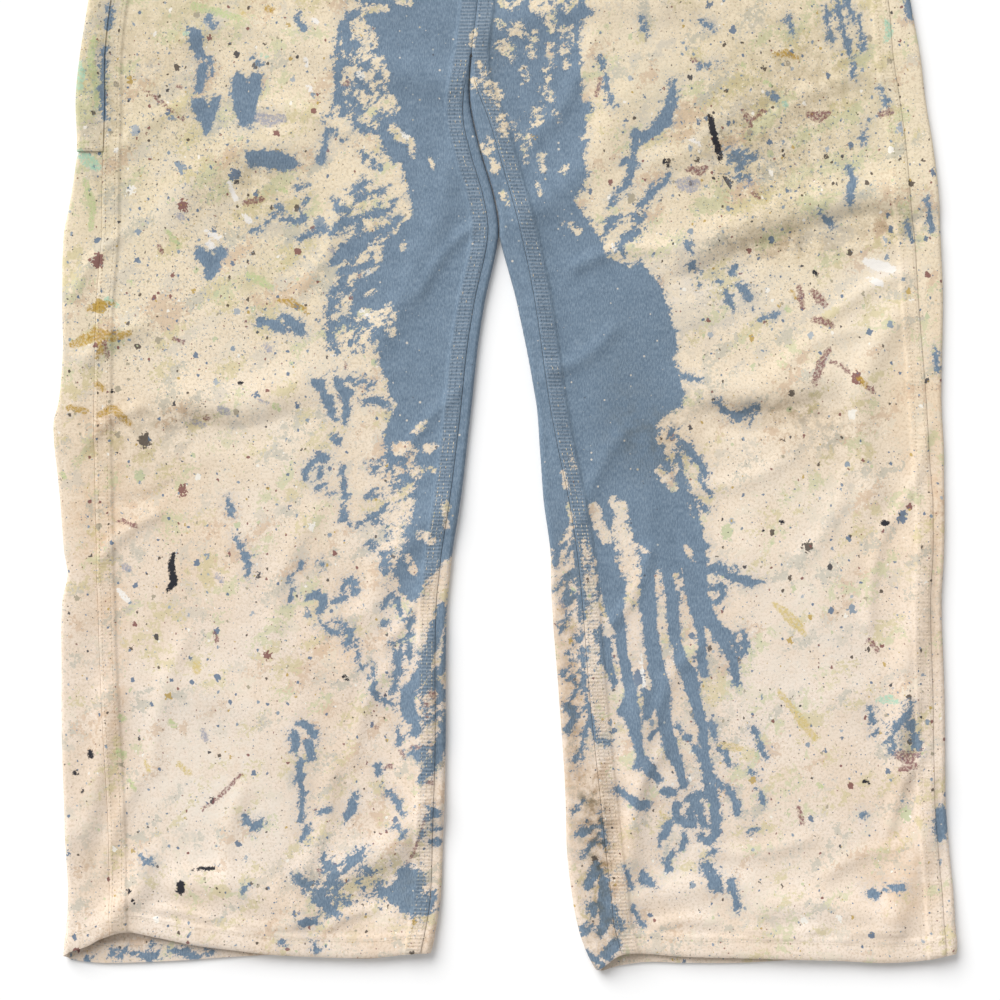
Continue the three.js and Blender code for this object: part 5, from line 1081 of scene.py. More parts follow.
front_right = make_leg_front(right_leg, "front_of_right_leg")
front_left = make_leg_front(left_leg, "front_of_left_leg")
for piece, node in ((front_right, "leg_front_right"), (front_left, "leg_front_left")):
    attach(piece, "root")
    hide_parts(node)


# The back of each leg, cut of the same canvas. It runs the whole width of the flat leg underneath,
# comes round both side folds and shows on top as a strip beside each felled seam. Its hem is turned
# up double too, and shows inside the open mouths of the legs.
STRIP_COLUMNS = 14
FOLD_STATIONS = np.linspace(0, 1, 13)
FLAT_SPACING = 7
POCKET_BOTTOM = 606
POCKET_TOP = 830
POCKET_UNDER = 34
POCKET_LIFT = CLOTH + SEAM_GAP
POCKET_STEP = 5
POCKET_EASE = 0.5


class BackSection:
    """The line of a back panel round the leg at each height, with its columns laid side by side."""

    def __init__(self, leg, up):
        self.leg, self.up = leg, up
        hand, half = leg.hand, CLOTH / 2
        slope = POCKET_STEP - POCKET_EASE
        lift = np.clip((up - POCKET_BOTTOM + POCKET_STEP) / slope, 0, 1)
        lift = POCKET_LIFT * lift * np.clip((POCKET_TOP + POCKET_STEP - up) / slope, 0, 1)
        if hand > 0:
            lift = lift * 0
        joined = up > CROTCH
        self.parts = []
        outer_x, outer_z, outer_radius = self.fold(leg.side(up), hand, lift)
        inner_x, inner_z, inner_radius = self.fold(leg.inner(up), -hand, 0 * up)
        seam = leg.outseam(up)
        t = np.linspace(0, 1, STRIP_COLUMNS)[None, :]
        x = seam + (outer_x - seam) * t
        low = front_height(leg, x, up) + half
        self.add(x, low + (outer_z + outer_radius - low) * smooth(t), 0, 1, 0, 1)
        t = FOLD_STATIONS[None, 1:]
        turn = np.pi * t
        self.add(outer_x + outer_radius * hand * np.sin(turn), outer_z + outer_radius * np.cos(turn),
                 hand * np.sin(turn), np.cos(turn), t, 1 - t)
        flat_end = np.where(joined, leg.inner(up), inner_x)
        columns = int(np.abs(flat_end - outer_x).max() / FLAT_SPACING)
        x = outer_x + (flat_end - outer_x) * np.linspace(0, 1, columns)[None, 1:]
        pocket_end = leg.side(up) - hand * (POCKET_UNDER + POCKET_STEP / 2)
        raised = lift * (1 - np.clip(hand * (pocket_end - x) / POCKET_STEP, 0, 1))
        self.add(x, half + raised, 0, -1, 1, 0)
        self.flat_end_column = sum(part[0].shape[1] for part in self.parts) - 1
        self.add(inner_x - inner_radius * hand * np.sin(np.pi * (1 - t)),
                 inner_z + inner_radius * np.cos(np.pi * (1 - t)),
                 -hand * np.sin(np.pi * (1 - t)), np.cos(np.pi * (1 - t)), 1 - t, t)
        seam = hand * np.maximum(hand * leg.inseam(up), hand * inner_x + 0.2)
        seam = np.where(joined, inner_x + hand * MIN_STRIP, seam)
        t = np.linspace(0, 1, 17)[None, 1:]
        x = inner_x + (seam - inner_x) * t
        high = inner_z + inner_radius
        low = front_height(leg, x, up) + half
        self.add(x, high + (low - high) * smooth(t), 0, 1, 0, 1)
        self.x, self.z, self.out_x, self.out_z, self.on_back, self.fine = (
            np.concatenate([part[k] for part in self.parts], axis=1) for k in range(6)
        )

    def fold(self, edge, way, raised):
        """Centre and radius of the half circle in which the cloth turns at an edge of the leg."""
        top = front_height(self.leg, edge - way * EDGE_LOFT_REACH * 0.2, self.up) + CLOTH / 2
        base = CLOTH / 2 + raised
        radius = (top - base) / 2
        return edge - way * (radius + CLOTH / 2 + raised), base + radius, radius

    def add(self, x, *rest):
        self.parts.append([x] + [np.broadcast_to(np.asarray(value, float), x.shape) for value in rest])

    def grids(self):
        """Point, out, over, under and the paint fields, in columns from the outseam inwards."""
        up = self.up + 0 * self.x
        in_front = (1 - self.on_back) * hem_lift(FRONT_HEM, self.x, up)
        moved = in_front + self.on_back * hem_lift(BACK_HEM, self.x, up)
        point = np.stack([self.x, up + moved, self.z], -1)
        out = np.stack([self.out_x, 0 * self.x, self.out_z], -1)
        crease = fine_height(self.leg, self.x, up)
        over = CLOTH / 2 + self.fine * crease + 0.5 * self.fine * hem_round(up)
        hemmed = smooth((HEM_DEPTH + 0.8 - up) / 1.6)
        depth = CLOTH / 2 + hemmed * (HEM_CLOTH - CLOTH) - self.fine * np.minimum(crease, 0.3)
        depth = depth + 0.3 * (1 - self.fine) * unevenness(self.x, up, 34)
        front = paint_fields(self.x, point[..., 1])
        behind = paint_fields(self.x, point[..., 1], hidden=True)
        under = smooth((self.on_back - 0.6) * 2.5)
        fields = {key: front[key] * (1 - under) + behind[key] * under for key in PAINT_FIELDS}
        return point, out, over, depth, fields


def turned(grids, fields):
    """The same grids with their columns the other way round."""
    return [grid[:, ::-1] for grid in grids], {key: field[:, ::-1] for key, field in fields.items()}


def make_leg_back(leg, name):
    up = leg_rows(FRONT_SPACING)
    up = np.concatenate([up, np.arange(BAND_BOTTOM, BAND_TOP + 1, 5)])[:, None]
    section = BackSection(leg, up)
    *grids, fields = section.grids()
    rows, columns = section.x.shape
    cloth = np.ones((rows - 1, columns - 1), bool)
    cloth[np.argmax(up[:, 0] >= CROTCH) :, section.flat_end_column :] = False
    if leg.hand < 0:
        grids, fields = turned(grids, fields)
        cloth = cloth[:, ::-1]
    piece = build_cloth(name, *grids, fields, cloth)
    piece.data.materials.append(canvas)
    return piece


back_right = make_leg_back(right_leg, "back_of_right_leg")
back_left = make_leg_back(left_leg, "back_of_left_leg")
for piece, node in ((back_right, "leg_back_right"), (back_left, "leg_back_left")):
    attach(piece, "root")
    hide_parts(node)


# The rule pocket, a long patch of the same canvas sewn into the right outseam. It follows the back
# panel round the side fold, open at the top and top-stitched along its other edges.
def make_rule_pocket(name):
    up = np.concatenate([
        [POCKET_BOTTOM, POCKET_BOTTOM + 0.8], np.arange(POCKET_BOTTOM + 3, POCKET_TOP - 3, 3),
        [POCKET_TOP - 0.8, POCKET_TOP],
    ])[:, None]
    section = BackSection(right_leg, up)
    point, out, over, under, fields = section.grids()
    point = point + POCKET_LIFT * out
    inward = section.x - right_leg.side(up)
    flat_start = STRIP_COLUMNS + len(FOLD_STATIONS) - 1
    last = flat_start + int(np.argmax(inward[0, flat_start:] > POCKET_UNDER))
    point[:, 0, 0] += SEAM_GAP
    point[:, last, 0] = (right_leg.side(up) + POCKET_UNDER)[:, 0]
    point[:, last, 2] = CLOTH / 2
    keep = slice(0, last + 1)
    ends = 0.45 * (1 - smooth(np.minimum(up - POCKET_BOTTOM, POCKET_TOP - up) / 1.2))
    grids = [point[:, keep], out[:, keep], (over - ends)[:, keep], np.full_like(over, CLOTH / 2)[:, keep]]
    fields = {key: field[:, keep] for key, field in fields.items()}
    grids, fields = turned(grids, fields)
    piece = build_cloth(name, *grids, fields)
    piece.data.materials.append(canvas)
    return piece


rule_pocket = make_rule_pocket("rule_pocket_patch")
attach(rule_pocket, "root")
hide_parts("rule_pocket")


# The waistband, bib and upper back. The waistband is a doubled strip of canvas over the tops of the
# legs' fronts; the bib is one panel with a deep double hem along its top; the back rises as a taper
# to where the straps start. Their free edges are turned and stitched.
BIB_SIDES = ((1040.3, 152), (1100, 146), (1180, 136), (1260, 127), (1310, 124))
BACK_SIDES = ((1040.3, 246), (1066, 222), (1100, 186), (1140, 155), (1190, 128), (1250, 106), (1310, 92))
BIB_TOP = 1310
BIB_HEM = 26
BIB_DIP = 1.2
BIB_DIP_SPAN = 60
BIB_SETTLE = 60
UPPER_FOLDS = (
    (-60, 1060, -30, 1150, 8, 16, 1.4), (40, 1090, 70, 1180, -8, 18, 1.3),
    (-90, 1180, 20, 1210, 10, 16, 1.1), (-20, 1240, 80, 1226, 6, 14, 1),
    (90, 1050, 120, 1090, 5, 10, 1.2), (-126, 1060, -104, 1110, -5, 10, 1.1),
    (-210, 1046, -160, 1080, 6, 9, 0.7), (210, 1046, 160, 1086, -6, 9, 0.7),
)


def upper_height(x, up):
    up = np.minimum(up, BAND_TOP)
    return np.where(x < 0, front_height(right_leg, x, up), front_height(left_leg, x, up))


def bib_half(up):
    return read(BIB_SIDES, 1, up)


def bib_height(x, up):
    settled = smooth((up - BAND_TOP) / BIB_SETTLE)
    waves = BIB_DIP * np.cos(x / bib_half(up) * np.pi) * np.sin((up - BAND_TOP) / BIB_DIP_SPAN)
    return upper_height(x, up) * (1 - settled) + (HEM_CLOTH + CLOTH + waves) * settled


def upper_crease(x, up):
    crease = fold_rise(UPPER_FOLDS, x, up) + 0.35 * unevenness(x, up, 52) + 0.25 * unevenness(x, up, 21)
    return crease + 0.12 * unevenness(x, up + 30, 8)


def make_level(name, ups, left, right, height, over, under):
    """A level piece between two sides, with round edges; over and under are given x and up."""
    up = ups[:, None]
    span = right(up) - left(up)
    t = np.linspace(0, 1, int(span.max() / 3.2))
    t = np.concatenate([[0, 0.002, 0.005], t[(t > 0.008) & (t < 0.992)], [0.995, 0.998, 1]])[None, :]
    x = left(up) + span * t
    up = up + 0 * x
    edge = np.minimum(np.minimum(x - left(up), right(up) - x), np.minimum(up - ups[0], ups[-1] - up))
    rounding = 0.4 * (1 - smooth(edge / 1.2))
    point = np.stack([x, up, height(x, up)], -1)
    out = np.broadcast_to(np.array([0.0, 0, 1]), point.shape)
    piece = build_cloth(name, point, out, over(x, up) - rounding, under(x, up), paint_fields(x, up))
    piece.data.materials.append(canvas)
    return piece


def rows_between(low, high, spacing):
    inner = np.linspace(low, high, int((high - low) / spacing) + 1)[1:-1]
    return np.concatenate([[low, low + 0.6], inner, [high - 0.6, high]])


def doubled(x, up, low, high):
    """1 where a hem or band lies double between two heights."""
    return smooth((up - low + 0.8) / 1.6) * smooth((high + 0.8 - up) / 1.6)


def band_crease(x, up):
    roped = np.sin(2 * np.pi * (x + 0.5 * up) / 17) * bell(up - (BAND_BOTTOM + BAND_TOP) / 2, 24)
    return 0.3 * unevenness(x, up, 40) + 0.2 * roped + 0.15 * unevenness(x, up, 14)


def bib_under(x, up):
    """Depth of the bib's underside, which is deeper where its top hem lies double."""
    hem = (HEM_CLOTH - CLOTH) * doubled(x, up, BIB_TOP - BIB_HEM, BIB_TOP + 9)
    return hem - np.clip(upper_crease(x, up), -0.5, 0.8)


waistband = make_level(
    "waistband_strip", rows_between(BAND_BOTTOM, BAND_TOP, 2.8),
    lambda up: right_leg.outseam(up) + SEAM_GAP, lambda up: left_leg.outseam(up) - SEAM_GAP,
    upper_height, lambda x, up: FELL_CLOTH + band_crease(x, up), lambda x, up: 0 * x,
)
bib = make_level(
    "bib_panel", rows_between(BAND_TOP + SEAM_GAP, BIB_TOP, 3.2), lambda up: -bib_half(up), bib_half,
    bib_height, lambda x, up: CLOTH + upper_crease(x, up) * smooth((up - BAND_TOP) / 30), bib_under,
)
upper_back = make_level(
    "upper_back_panel", rows_between(BAND_TOP + SEAM_GAP, BIB_TOP, 3.6),
    lambda up: -read(BACK_SIDES, 1, up), lambda up: read(BACK_SIDES, 1, up),
    lambda x, up: CLOTH + 0 * x, lambda x, up: 0.35 * upper_crease(x + 30, up),
    lambda x, up: CLOTH + 0 * x,
)
for piece, node in ((waistband, "waistband"), (bib, "bib"), (upper_back, "back_upper")):
    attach(piece, "root")
    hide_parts(node)


# The two straps, doubled strips of canvas from the top of the back. Each runs up, turns over at the
# shoulder, comes down over the front and is threaded round the bar of its slide.
STRAP_WIDTH = 40
STRAP_CLOTH = 1.8
STRAP_ROOT = 68
STRAP_SHOULDER = 96
SHOULDER_FOLD = 1436
SLIDE_CENTRE = 104
SLIDE_BAR_UP = 1323
SLIDE_WIRE = 2.4
SLIDE_Z = 8.4
BIB_BUTTON_UP = 1288
TAIL_TOP = 1384
BAR_LOOP = SLIDE_WIRE / 2 + SEAM_GAP + STRAP_CLOTH / 2
SHOULDER_LOOP = (SLIDE_Z + BAR_LOOP - STRAP_CLOTH / 2) / 2
TURN_UP = SHOULDER_FOLD - SHOULDER_LOOP - STRAP_CLOTH / 2


def strap_line():
    """Rows of x, up, height, and the way out in up and height, from the back to the loose end."""
    line = []
    for t in np.linspace(0, 1, 38):
        line.append((STRAP_ROOT + (STRAP_SHOULDER - STRAP_ROOT) * t,
                     BIB_TOP + SEAM_GAP + (TURN_UP - BIB_TOP - SEAM_GAP) * t, STRAP_CLOTH / 2, 0, -1))
    for t in np.linspace(0, 1, 17)[1:]:
        a = math.pi * t
        line.append((STRAP_SHOULDER, TURN_UP + SHOULDER_LOOP * math.sin(a),
                     STRAP_CLOTH / 2 + SHOULDER_LOOP * (1 - math.cos(a)), math.sin(a), -math.cos(a)))
    for t in np.linspace(0, 1, 36)[1:]:
        line.append((STRAP_SHOULDER + (SLIDE_CENTRE - STRAP_SHOULDER) * t,
                     TURN_UP + (SLIDE_BAR_UP - TURN_UP) * t, SLIDE_Z + BAR_LOOP, 0, 1))
    for t in np.linspace(0, 1, 17)[1:]:
        a = math.pi * t
        line.append((SLIDE_CENTRE, SLIDE_BAR_UP - BAR_LOOP * math.sin(a),
                     SLIDE_Z + BAR_LOOP * math.cos(a), -math.sin(a), math.cos(a)))
    for t in np.linspace(0, 1, 22)[1:]:
        line.append((SLIDE_CENTRE + (STRAP_SHOULDER - SLIDE_CENTRE) * t * 0.5,
                     SLIDE_BAR_UP + (TAIL_TOP - SLIDE_BAR_UP) * t, SLIDE_Z - BAR_LOOP, 0, -1))
    return np.array(line)


def make_strap(hand, name):
    x, up, z, out_up, out_z = (column[:, None] for column in strap_line().T)
    edge = np.concatenate([[-1, -0.985, -0.95], np.linspace(-0.9, 0.9, 17), [0.95, 0.985, 1]])[None, ::-1]
    x = hand * x + edge * STRAP_WIDTH / 2
    point = np.stack([x, up + 0 * x, z + 0 * x], -1)
    out = np.stack([0 * x, out_up + 0 * x, out_z + 0 * x], -1)
    round_edge = 0.35 * (1 - smooth((1 - np.abs(edge)) * 12))
    ridge = 0.14 * bell((np.abs(edge) - 0.82) * 20, 1.6) + 0.1 * unevenness(x, up, 11) + 0 * z
    over = STRAP_CLOTH / 2 - round_edge - ridge
    fields = paint_fields(x, up + 0 * x)
    piece = build_cloth(name, point, out, over, over, fields)
    piece.data.materials.append(canvas)
    return piece


strap_right = make_strap(-1, "right_shoulder_strap")
strap_left = make_strap(1, "left_shoulder_strap")
for piece, node in ((strap_right, "strap_right"), (strap_left, "strap_left")):
    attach(piece, "root")
    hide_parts(node)


# The slides, each bent from one round nickelled wire: a round eye below that hooks over the bib
# button, shoulders as wide as the strap, and a straight bar welded across for the strap to turn on.
SLIDE_EYE = 4.0
SLIDE_HALF = STRAP_WIDTH / 2 + 3
SLIDE_SHOULDERS = ((3.6, 7), (6, 11), (12, 17), (SLIDE_HALF - 2, 23), (SLIDE_HALF, 27))
SLIDE_HEAD = 7


def metal(name, code, dull, roughness):
    """A worn metal: its own colour, duller in the hollows of a fine noise."""
    material = bpy.data.materials.new(name)
    material.use_nodes = True
    tree = material.node_tree
    tree.nodes.clear()
    place = put(tree, "ShaderNodeTexCoord").outputs["Object"]
    wear = put(tree, "ShaderNodeTexNoise", Vector=place, Scale=420.0, Detail=5.0, Roughness=0.7).outputs[0]
    share = put(tree, "ShaderNodeMapRange", _0=wear, _1=0.42, _2=0.6).outputs[0]
    base = put(tree, "ShaderNodeMix", {"data_type": "RGBA"}, _0=share, _6=colour(code), _7=colour(dull))
    rough = put(tree, "ShaderNodeMapRange", _0=wear, _1=0.4, _2=0.65, _3=roughness, _4=roughness + 0.25)
    shader = put(tree, "ShaderNodeBsdfPrincipled", **{
        "Base Color": base.outputs[2], "Roughness": rough.outputs[0], "Metallic": 1.0,
    })
    put(tree, "ShaderNodeOutputMaterial", Surface=shader.outputs[0])
    return material


def make_slide(centre_x, name, material):
    turns = np.linspace(-0.5, 0.22, 13) * math.pi
    right = [(SLIDE_EYE * math.cos(a), SLIDE_EYE * math.sin(a)) for a in turns]
    head = SLIDE_BAR_UP - BIB_BUTTON_UP + SLIDE_HEAD
    right += [*SLIDE_SHOULDERS, (SLIDE_HALF, head - 3), (SLIDE_HALF - 3, head)]
    line = np.array(right + [(-x, y) for x, y in right[:0:-1]])
    for _ in range(2):
        after = np.roll(line, -1, axis=0)
        line = np.stack([0.75 * line + 0.25 * after, 0.25 * line + 0.75 * after], 1).reshape(-1, 2)
    deselect()
    bpy.ops.mesh.primitive_circle_add(vertices=len(line), radius=1)
    piece = bpy.context.object
    piece.name = name
    for vertex, (x, y) in zip(piece.data.vertices, line):
        vertex.co = ((centre_x + x + ORIGIN_X) * MM, (BIB_BUTTON_UP + y + ORIGIN_Y) * MM, SLIDE_Z * MM)
    bpy.ops.object.convert(target="CURVE")
    piece = bpy.context.object
    piece.data.bevel_depth = SLIDE_WIRE / 2 * MM
    piece.data.bevel_resolution = 3
    bpy.ops.object.convert(target="MESH")
    piece = bpy.context.object
    deselect()
    middle = ((centre_x + ORIGIN_X) * MM, (SLIDE_BAR_UP + ORIGIN_Y) * MM, SLIDE_Z * MM)
    bpy.ops.mesh.primitive_cylinder_add(
        vertices=20, radius=SLIDE_WIRE / 2 * MM, depth=2 * SLIDE_HALF * MM, location=middle,
        rotation=(0, math.pi / 2, 0),
    )
    bar = bpy.context.object
    piece.select_set(True)
    bpy.context.view_layer.objects.active = bar
    bpy.ops.object.transform_apply(location=True, rotation=True, scale=True)
    bpy.context.view_layer.objects.active = piece
    bpy.ops.object.join()
    bpy.ops.object.mode_set(mode="EDIT")
    bpy.ops.mesh.select_all(action="SELECT")
    bpy.ops.mesh.remove_doubles(threshold=1e-6)
    bpy.ops.mesh.normals_make_consistent(inside=False)
    bpy.ops.object.mode_set(mode="OBJECT")
    bpy.ops.object.shade_smooth_by_angle(angle=math.radians(40))
    piece.data.materials.clear()
    piece.data.materials.append(material)
    return piece


# Steel wire, drawn and nickelled: smooth and bright, with dull patches where it rubs
nickel = metal("worn_nickelled_wire", "#C9C6BD", "#8B8479", 0.28)
for hand, node in ((-1, "slide_right"), (1, "slide_left")):
    slide = make_slide(hand * SLIDE_CENTRE, node + "_bent_wire", nickel)
    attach(slide, "root")
    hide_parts(node)


# The buttons, stamped from thin metal: a stem through the cloth and a round head with a raised rim,
# a hollow ring and a low dome. Two on the bib and two at each side opening.
BUTTON_RINGS = (
    (2.5, 0), (7.9, 0), (8.4, 0.35), (8.5, 0.9), (8.2, 1.5), (7.5, 1.85), (6.8, 1.7), (6.3, 1.45),
    (5.4, 1.5), (4.2, 1.85), (2.8, 2.2), (1.3, 2.4),
)
SIDE_BUTTONS = (("side_button_upper", 1018, 14), ("side_button_lower", 925, 9))
SHANK_HEIGHT = 1.2


def make_button(x, up, seat, stem, name, material):
    deselect()
    foot = ((x + ORIGIN_X) * MM, (up + ORIGIN_Y) * MM, (seat + stem / 2) * MM)
    bpy.ops.mesh.primitive_cylinder_add(
        vertices=40, radius=BUTTON_RINGS[0][0] * MM, depth=stem * MM, location=foot
    )
    piece = bpy.context.object
    piece.name = name
    bpy.ops.object.transform_apply(location=True, rotation=True, scale=True)
    bpy.ops.object.mode_set(mode="EDIT")
    bpy.ops.mesh.select_mode(type="FACE")
    bpy.ops.mesh.select_all(action="DESELECT")
    bpy.ops.object.mode_set(mode="OBJECT")
    for polygon in piece.data.polygons:
        polygon.select = polygon.normal.z > 0.9
    bpy.ops.object.mode_set(mode="EDIT")
    for (before, low), (radius, high) in zip(BUTTON_RINGS, BUTTON_RINGS[1:]):
        bpy.ops.mesh.extrude_region_move(TRANSFORM_OT_translate={"value": (0, 0, (high - low) * MM)})
        wider = radius / before
        bpy.ops.transform.resize(value=(wider, wider, 1), center_override=(foot[0], foot[1], 0))
    bpy.ops.mesh.select_all(action="SELECT")
    bpy.ops.mesh.normals_make_consistent(inside=False)
    bpy.ops.object.mode_set(mode="OBJECT")
    bpy.ops.object.shade_smooth_by_angle(angle=math.radians(50))
    piece.data.materials.append(material)
    return piece


# Zinc sheet, stamped and left to dull: grey, with soft broad glints on the rims
stamped = metal("dull_stamped_zinc", "#B7B2A6", "#7D766A", 0.36)
for hand, side, leg in ((-1, "right", right_leg), (1, "left", left_leg)):
    x = hand * SLIDE_CENTRE
    seat = float(bib_height(np.array([[x]]), np.array([[BIB_BUTTON_UP]]))[0, 0]) + CLOTH + SEAM_GAP
    stem = SLIDE_Z + SLIDE_WIRE / 2 + SEAM_GAP - seat
    places = [(f"bib_button_{side}", x, BIB_BUTTON_UP, seat, stem)]
    for node, up, inset in SIDE_BUTTONS:
        x = float(leg.outseam(np.array([up]))[0]) - hand * inset
        ground = float(front_height(leg, np.array([[x]]), np.array([[up]]))[0, 0]) + FELL_CLOTH
        places.append((f"{node}_{side}", x, up, ground + SEAM_GAP * 2, SHANK_HEIGHT))
    for node, x, up, seat, stem in places:
        button = make_button(x, up, seat, stem, node + "_stamped", stamped)
        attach(button, "root")
        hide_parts(node)


# The sewing, in thick cream cotton thread: three rows down each inseam, two down each outseam, one
# round each hem, and rows along the waistband, bib, straps and rule pocket. Each stitch is a short
# raised body laid on the cloth; paint has worn off many of those that run through the blue.
STITCH_PITCH = 3.1
STITCH_LENGTH = 2.3
STITCH_WIDE = 0.62
STITCH_HIGH = 0.42
HEM_STITCH_UP = 12.2
INSEAM_ROWS = (2.2, 6.0, 9.8)
OUTSEAM_ROWS = (2.4, 9.4)
STRAP_FRONT_ROWS = slice(60, 88)
# Cotton thread, a little duller than the cloth, that has taken the same spatter
thread = painted_canvas("cotton_sewing_thread_with_house_paint", "#DED2BC", "#E9DFCB")
dice = np.random.default_rng(23)


def cloth_below(pieces):
    """A tree of the pieces' faces, to find the cloth's surface under a place."""
    places, faces = [], []
    for piece in pieces:
        mesh = piece.data
        found = np.empty(len(mesh.vertices) * 3)
        mesh.vertices.foreach_get("co", found)
        corners = np.empty(len(mesh.polygons) * 4, int)
        mesh.polygons.foreach_get("vertices", corners)
        faces.append(corners.reshape(-1, 4) + sum(len(each) for each in places))
        places.append(found.reshape(-1, 3))
    return BVHTree.FromPolygons(np.concatenate(places).tolist(), np.concatenate(faces).tolist())


surface = cloth_below([
    front_right, front_left, back_right, back_left, rule_pocket, waistband, bib, upper_back,
    strap_right, strap_left,
])


def along(line):
    """The middles and ends of stitches evenly spaced along a line of x and up."""
    line = np.asarray(line, float)
    run = np.concatenate([[0], np.cumsum(np.hypot(*np.diff(line, axis=0).T))])
    starts = np.arange(STITCH_PITCH, run[-1] - STITCH_PITCH, STITCH_PITCH)
    starts = starts + dice.uniform(-0.25, 0.25, len(starts))
    ends = starts + STITCH_LENGTH + dice.uniform(-0.3, 0.3, len(starts))
    sample = [np.stack([np.interp(at, run, line[:, k]) for k in (0, 1)], -1) for at in (starts, ends)]
    return sample[0], sample[1]


def on_cloth(places, above=0.0, below=60.0):
    """Heights of the cloth's top at places, or nan where it isn't between the two heights."""
    heights = np.full(len(places), np.nan)
    for i, (x, up) in enumerate(places):
        origin = ((x + ORIGIN_X) * MM, (up + ORIGIN_Y) * MM, 0.1)
        hit = surface.ray_cast(origin, (0, 0, -1))[0]
        if hit is not None and above <= hit.z / MM <= below:
            heights[i] = hit.z / MM
    return heights


def make_stitches(name, lines, worn=0.0, above=0.0, below=60.0):
    """Stitches along lines of x and up; worn is how deep in the blue, in mm, a thread shows bare."""
    starts, ends = (np.concatenate(each) for each in zip(*(along(line) for line in lines)))
    low, high = on_cloth(starts, above, below), on_cloth(ends, above, below)
    kept = ~np.isnan(low + high)
    kept &= np.abs(low - high) < 1.2
    start = np.column_stack([starts, low])[kept]
    end = np.column_stack([ends, high])[kept]
    run = end - start
    run /= np.linalg.norm(run, axis=1)[:, None]
    side = np.column_stack([-run[:, 1], run[:, 0], 0 * run[:, 0]]) * STITCH_WIDE / 2
    rise = np.cross(run, side)
    rise *= np.sign(rise[:, 2:3]) * STITCH_HIGH / np.linalg.norm(rise, axis=1)[:, None]
    bodies = [start - 0.1 * rise]
    for t in (0.3, 0.7):
        middle = start + (end - start) * t
        bodies += [middle + side, middle + rise, middle - side, middle - 0.3 * rise]
    bodies.append(end - 0.1 * rise)
    places = np.stack(bodies, 1).reshape(-1, 3)
    places = (places + (ORIGIN_X, ORIGIN_Y, 0)) * MM
    ring = [(0, 2, 1), (0, 3, 2), (0, 4, 3), (0, 1, 4), (9, 5, 6), (9, 6, 7), (9, 7, 8), (9, 8, 5)]
    walls = [(1, 2, 6, 5), (2, 3, 7, 6), (3, 4, 8, 7), (4, 1, 5, 8)]
    faces = [tuple(corner + 10 * i for corner in face) for i in range(len(start)) for face in ring + walls]
    mesh = bpy.data.meshes.new(name)
    mesh.from_pydata(places.tolist(), [], faces)
    fields = paint_fields(start[:, 0], start[:, 1])
    fields["blue"] = fields["blue"] - worn * dice.random(len(start)) ** 2
    for key in PAINT_FIELDS:
        values = np.repeat(fields[key], 10).astype(np.float32)
        mesh.attributes.new(key, "FLOAT", "POINT").data.foreach_set("value", values)
    mesh.update()
    piece = bpy.data.objects.new(name, mesh)
    bpy.context.collection.objects.link(piece)
    deselect()
    piece.select_set(True)
    bpy.context.view_layer.objects.active = piece
    bpy.ops.object.mode_set(mode="EDIT")
    bpy.ops.mesh.select_all(action="SELECT")
    bpy.ops.mesh.normals_make_consistent(inside=False)
    bpy.ops.object.mode_set(mode="OBJECT")
    bpy.ops.object.shade_smooth()
    mesh.materials.append(thread)
    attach(piece, "root")
    return piece


def upright(at, low, high):
    """A line up the garment whose x is given by a function of the height."""
    up = np.arange(low, high, 2.0)
    return np.column_stack([at(up), up])


def level(up, low, high, table=FRONT_HEM):
    """A line across the garment, which follows a hem where it is near one."""
    x = np.arange(low, high, 2.0)
    return np.column_stack([x, up + hem_lift(table, x, np.full_like(x, up))])


leg_lines, inseam_lines, hem_lines = [], [], []
for leg in (right_leg, left_leg):
    hand = leg.hand
    for row in INSEAM_ROWS:
        inseam_lines.append(upright(lambda up: leg.inseam(up) + hand * (SEAM_GAP + row), 1, CROTCH))
    for row in OUTSEAM_ROWS:
        leg_lines.append(upright(lambda up: leg.outseam(up) - hand * (SEAM_GAP + row), 1, BAND_BOTTOM))
    edges = sorted((float(leg.side(np.array([0.0]))[0]), float(leg.inner(np.array([0.0]))[0])))
    hem_lines.append(level(HEM_STITCH_UP, edges[0] + 1, edges[1] - 1))
for row in (2.2, 7.8):
    leg_lines.append(upright(lambda up: left_leg.inner(up) + SEAM_GAP + row, CROTCH + 4, BAND_BOTTOM))
make_stitches("stitching_of_inseams", inseam_lines, worn=26)
make_stitches("stitching_of_outseams_and_rise", leg_lines, worn=8)
make_stitches("stitching_of_hems", hem_lines, worn=4)
make_stitches("stitching_inside_right_hem", [level(HEM_STITCH_UP, -325, -210, BACK_HEM)], below=4.6)
upper_lines = [level(BAND_BOTTOM + 3, -236, 236), level(BAND_TOP - 3, -232, 232)]
upper_lines += [level(BIB_TOP - 2.5, -120, 120), level(BIB_TOP - BIB_HEM + 2, -122, 122)]
for inset in (2.6, 8.4):
    edge = upright(lambda up: bib_half(up) - inset, BAND_TOP + 2, BIB_TOP - 2)
    upper_lines += [edge, edge * (-1, 1)]
strap_middle = strap_line()[STRAP_FRONT_ROWS]
for inset in (2.6, STRAP_WIDTH - 2.6):
    edge = np.column_stack([strap_middle[:, 0] - STRAP_WIDTH / 2 + inset, strap_middle[:, 1]])
    upper_lines += [edge, edge * (-1, 1)]
pocket_out = right_leg.outseam(np.array([POCKET_BOTTOM + 3.0]))[0] - 1
for up in (POCKET_BOTTOM + 2.4, POCKET_BOTTOM + 7):
    upper_lines.append(level(up, pocket_out - 20, pocket_out))
for up in (POCKET_TOP - 3, POCKET_TOP - 14):
    upper_lines.append(level(up, pocket_out - 16, pocket_out + 8))
make_stitches("stitching_of_bib_band_and_straps", upper_lines, worn=4)


# What each panel of cloth was cut to before it was sewn: its widest width as it lies, with the turnings
# of its felled edges and hems, and the area where the panel isn't a rectangle.
SIDE_TURNINGS = 20


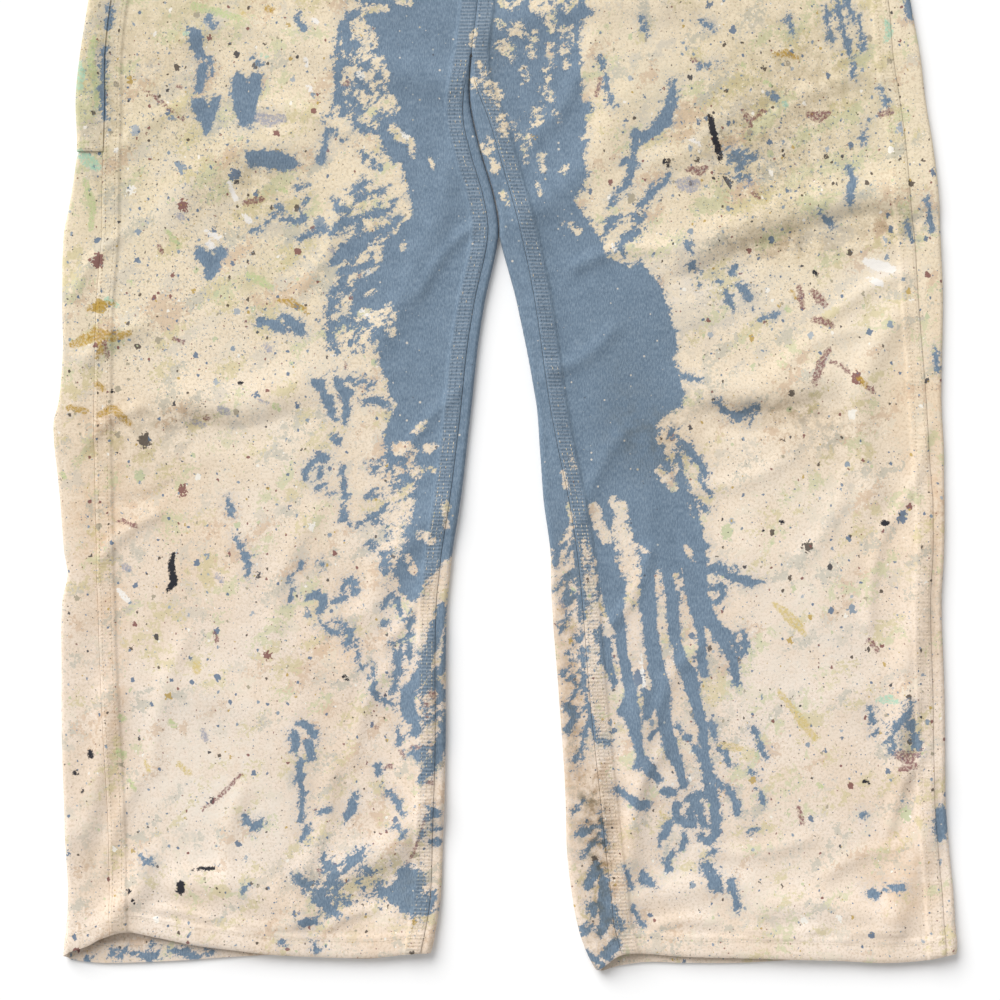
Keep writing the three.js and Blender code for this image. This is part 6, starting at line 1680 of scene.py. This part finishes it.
def swept(width, ups):
    """Widest width and area under widths at heights."""
    return float(width.max()), float((0.5 * (width[1:] + width[:-1]) * np.diff(ups)).sum())


heights = np.arange(0, BAND_BOTTOM + 1, 10.0)
for leg, front, back, node in (
    (right_leg, front_right, back_right, "leg_back_right"),
    (left_leg, front_left, back_left, "leg_back_left"),
):
    width, area = swept(np.abs(leg.outseam(heights) - leg.inseam(heights)) + 2 * FELL_WIDTH, heights)
    section = BackSection(leg, heights[:, None])
    line = np.hypot(np.diff(section.x, axis=1), np.diff(section.z, axis=1))
    line[heights > CROTCH, section.flat_end_column :] = 0
    width, area = swept(line.sum(axis=1) + 2 * FELL_WIDTH, heights)
heights = np.arange(BAND_TOP, BIB_TOP + 1, 10.0)
width, area = swept(2 * bib_half(heights) + SIDE_TURNINGS, heights)
width, area = swept(2 * read(BACK_SIDES, 1, heights) + SIDE_TURNINGS, heights)


# The floor, the light and the camera. The garment lies on matt white paper under one broad soft
# light, and a long lens looks straight down on the same part of it as the photo shows.
LENS = 85
SENSOR = 36
PHOTO_WIDTH = 1000
bpy.context.scene.view_settings.view_transform = "Standard"
world = bpy.context.scene.world or bpy.data.worlds.new("studio")
bpy.context.scene.world = world
world.use_nodes = True
world.node_tree.nodes["Background"].inputs[0].default_value = (1, 1, 1, 1)
world.node_tree.nodes["Background"].inputs[1].default_value = 0.45
deselect()
bpy.ops.mesh.primitive_plane_add(size=6, location=(0, 0, -0.0002))
floor = bpy.context.object
floor.name = "floor"
paper = bpy.data.materials.new("white_paper_sweep")
paper.use_nodes = True
paper.node_tree.nodes["Principled BSDF"].inputs["Base Color"].default_value = (0.95, 0.95, 0.95, 1)
paper.node_tree.nodes["Principled BSDF"].inputs["Roughness"].default_value = 0.9
floor.data.materials.append(paper)
key_light = bpy.data.objects.new("soft_sun", bpy.data.lights.new("soft_sun", "SUN"))
bpy.context.collection.objects.link(key_light)
key_light.data.energy = 3.55
key_light.data.angle = math.radians(50)
key_light.rotation_euler = (math.radians(-42), math.radians(-40), 0)
camera = bpy.data.objects.new("camera", bpy.data.cameras.new("camera"))
bpy.context.collection.objects.link(camera)
camera.data.lens = LENS
camera.data.sensor_width = SENSOR
distance = PHOTO_WIDTH * MM_PER_PIXEL * MM * LENS / SENSOR
middle_up = (PHOTO_HEM_LINE_Y - PHOTO_WIDTH / 2) * MM_PER_PIXEL
camera.location = (ORIGIN_X * MM, (ORIGIN_Y + middle_up) * MM, distance)
bpy.context.scene.camera = camera
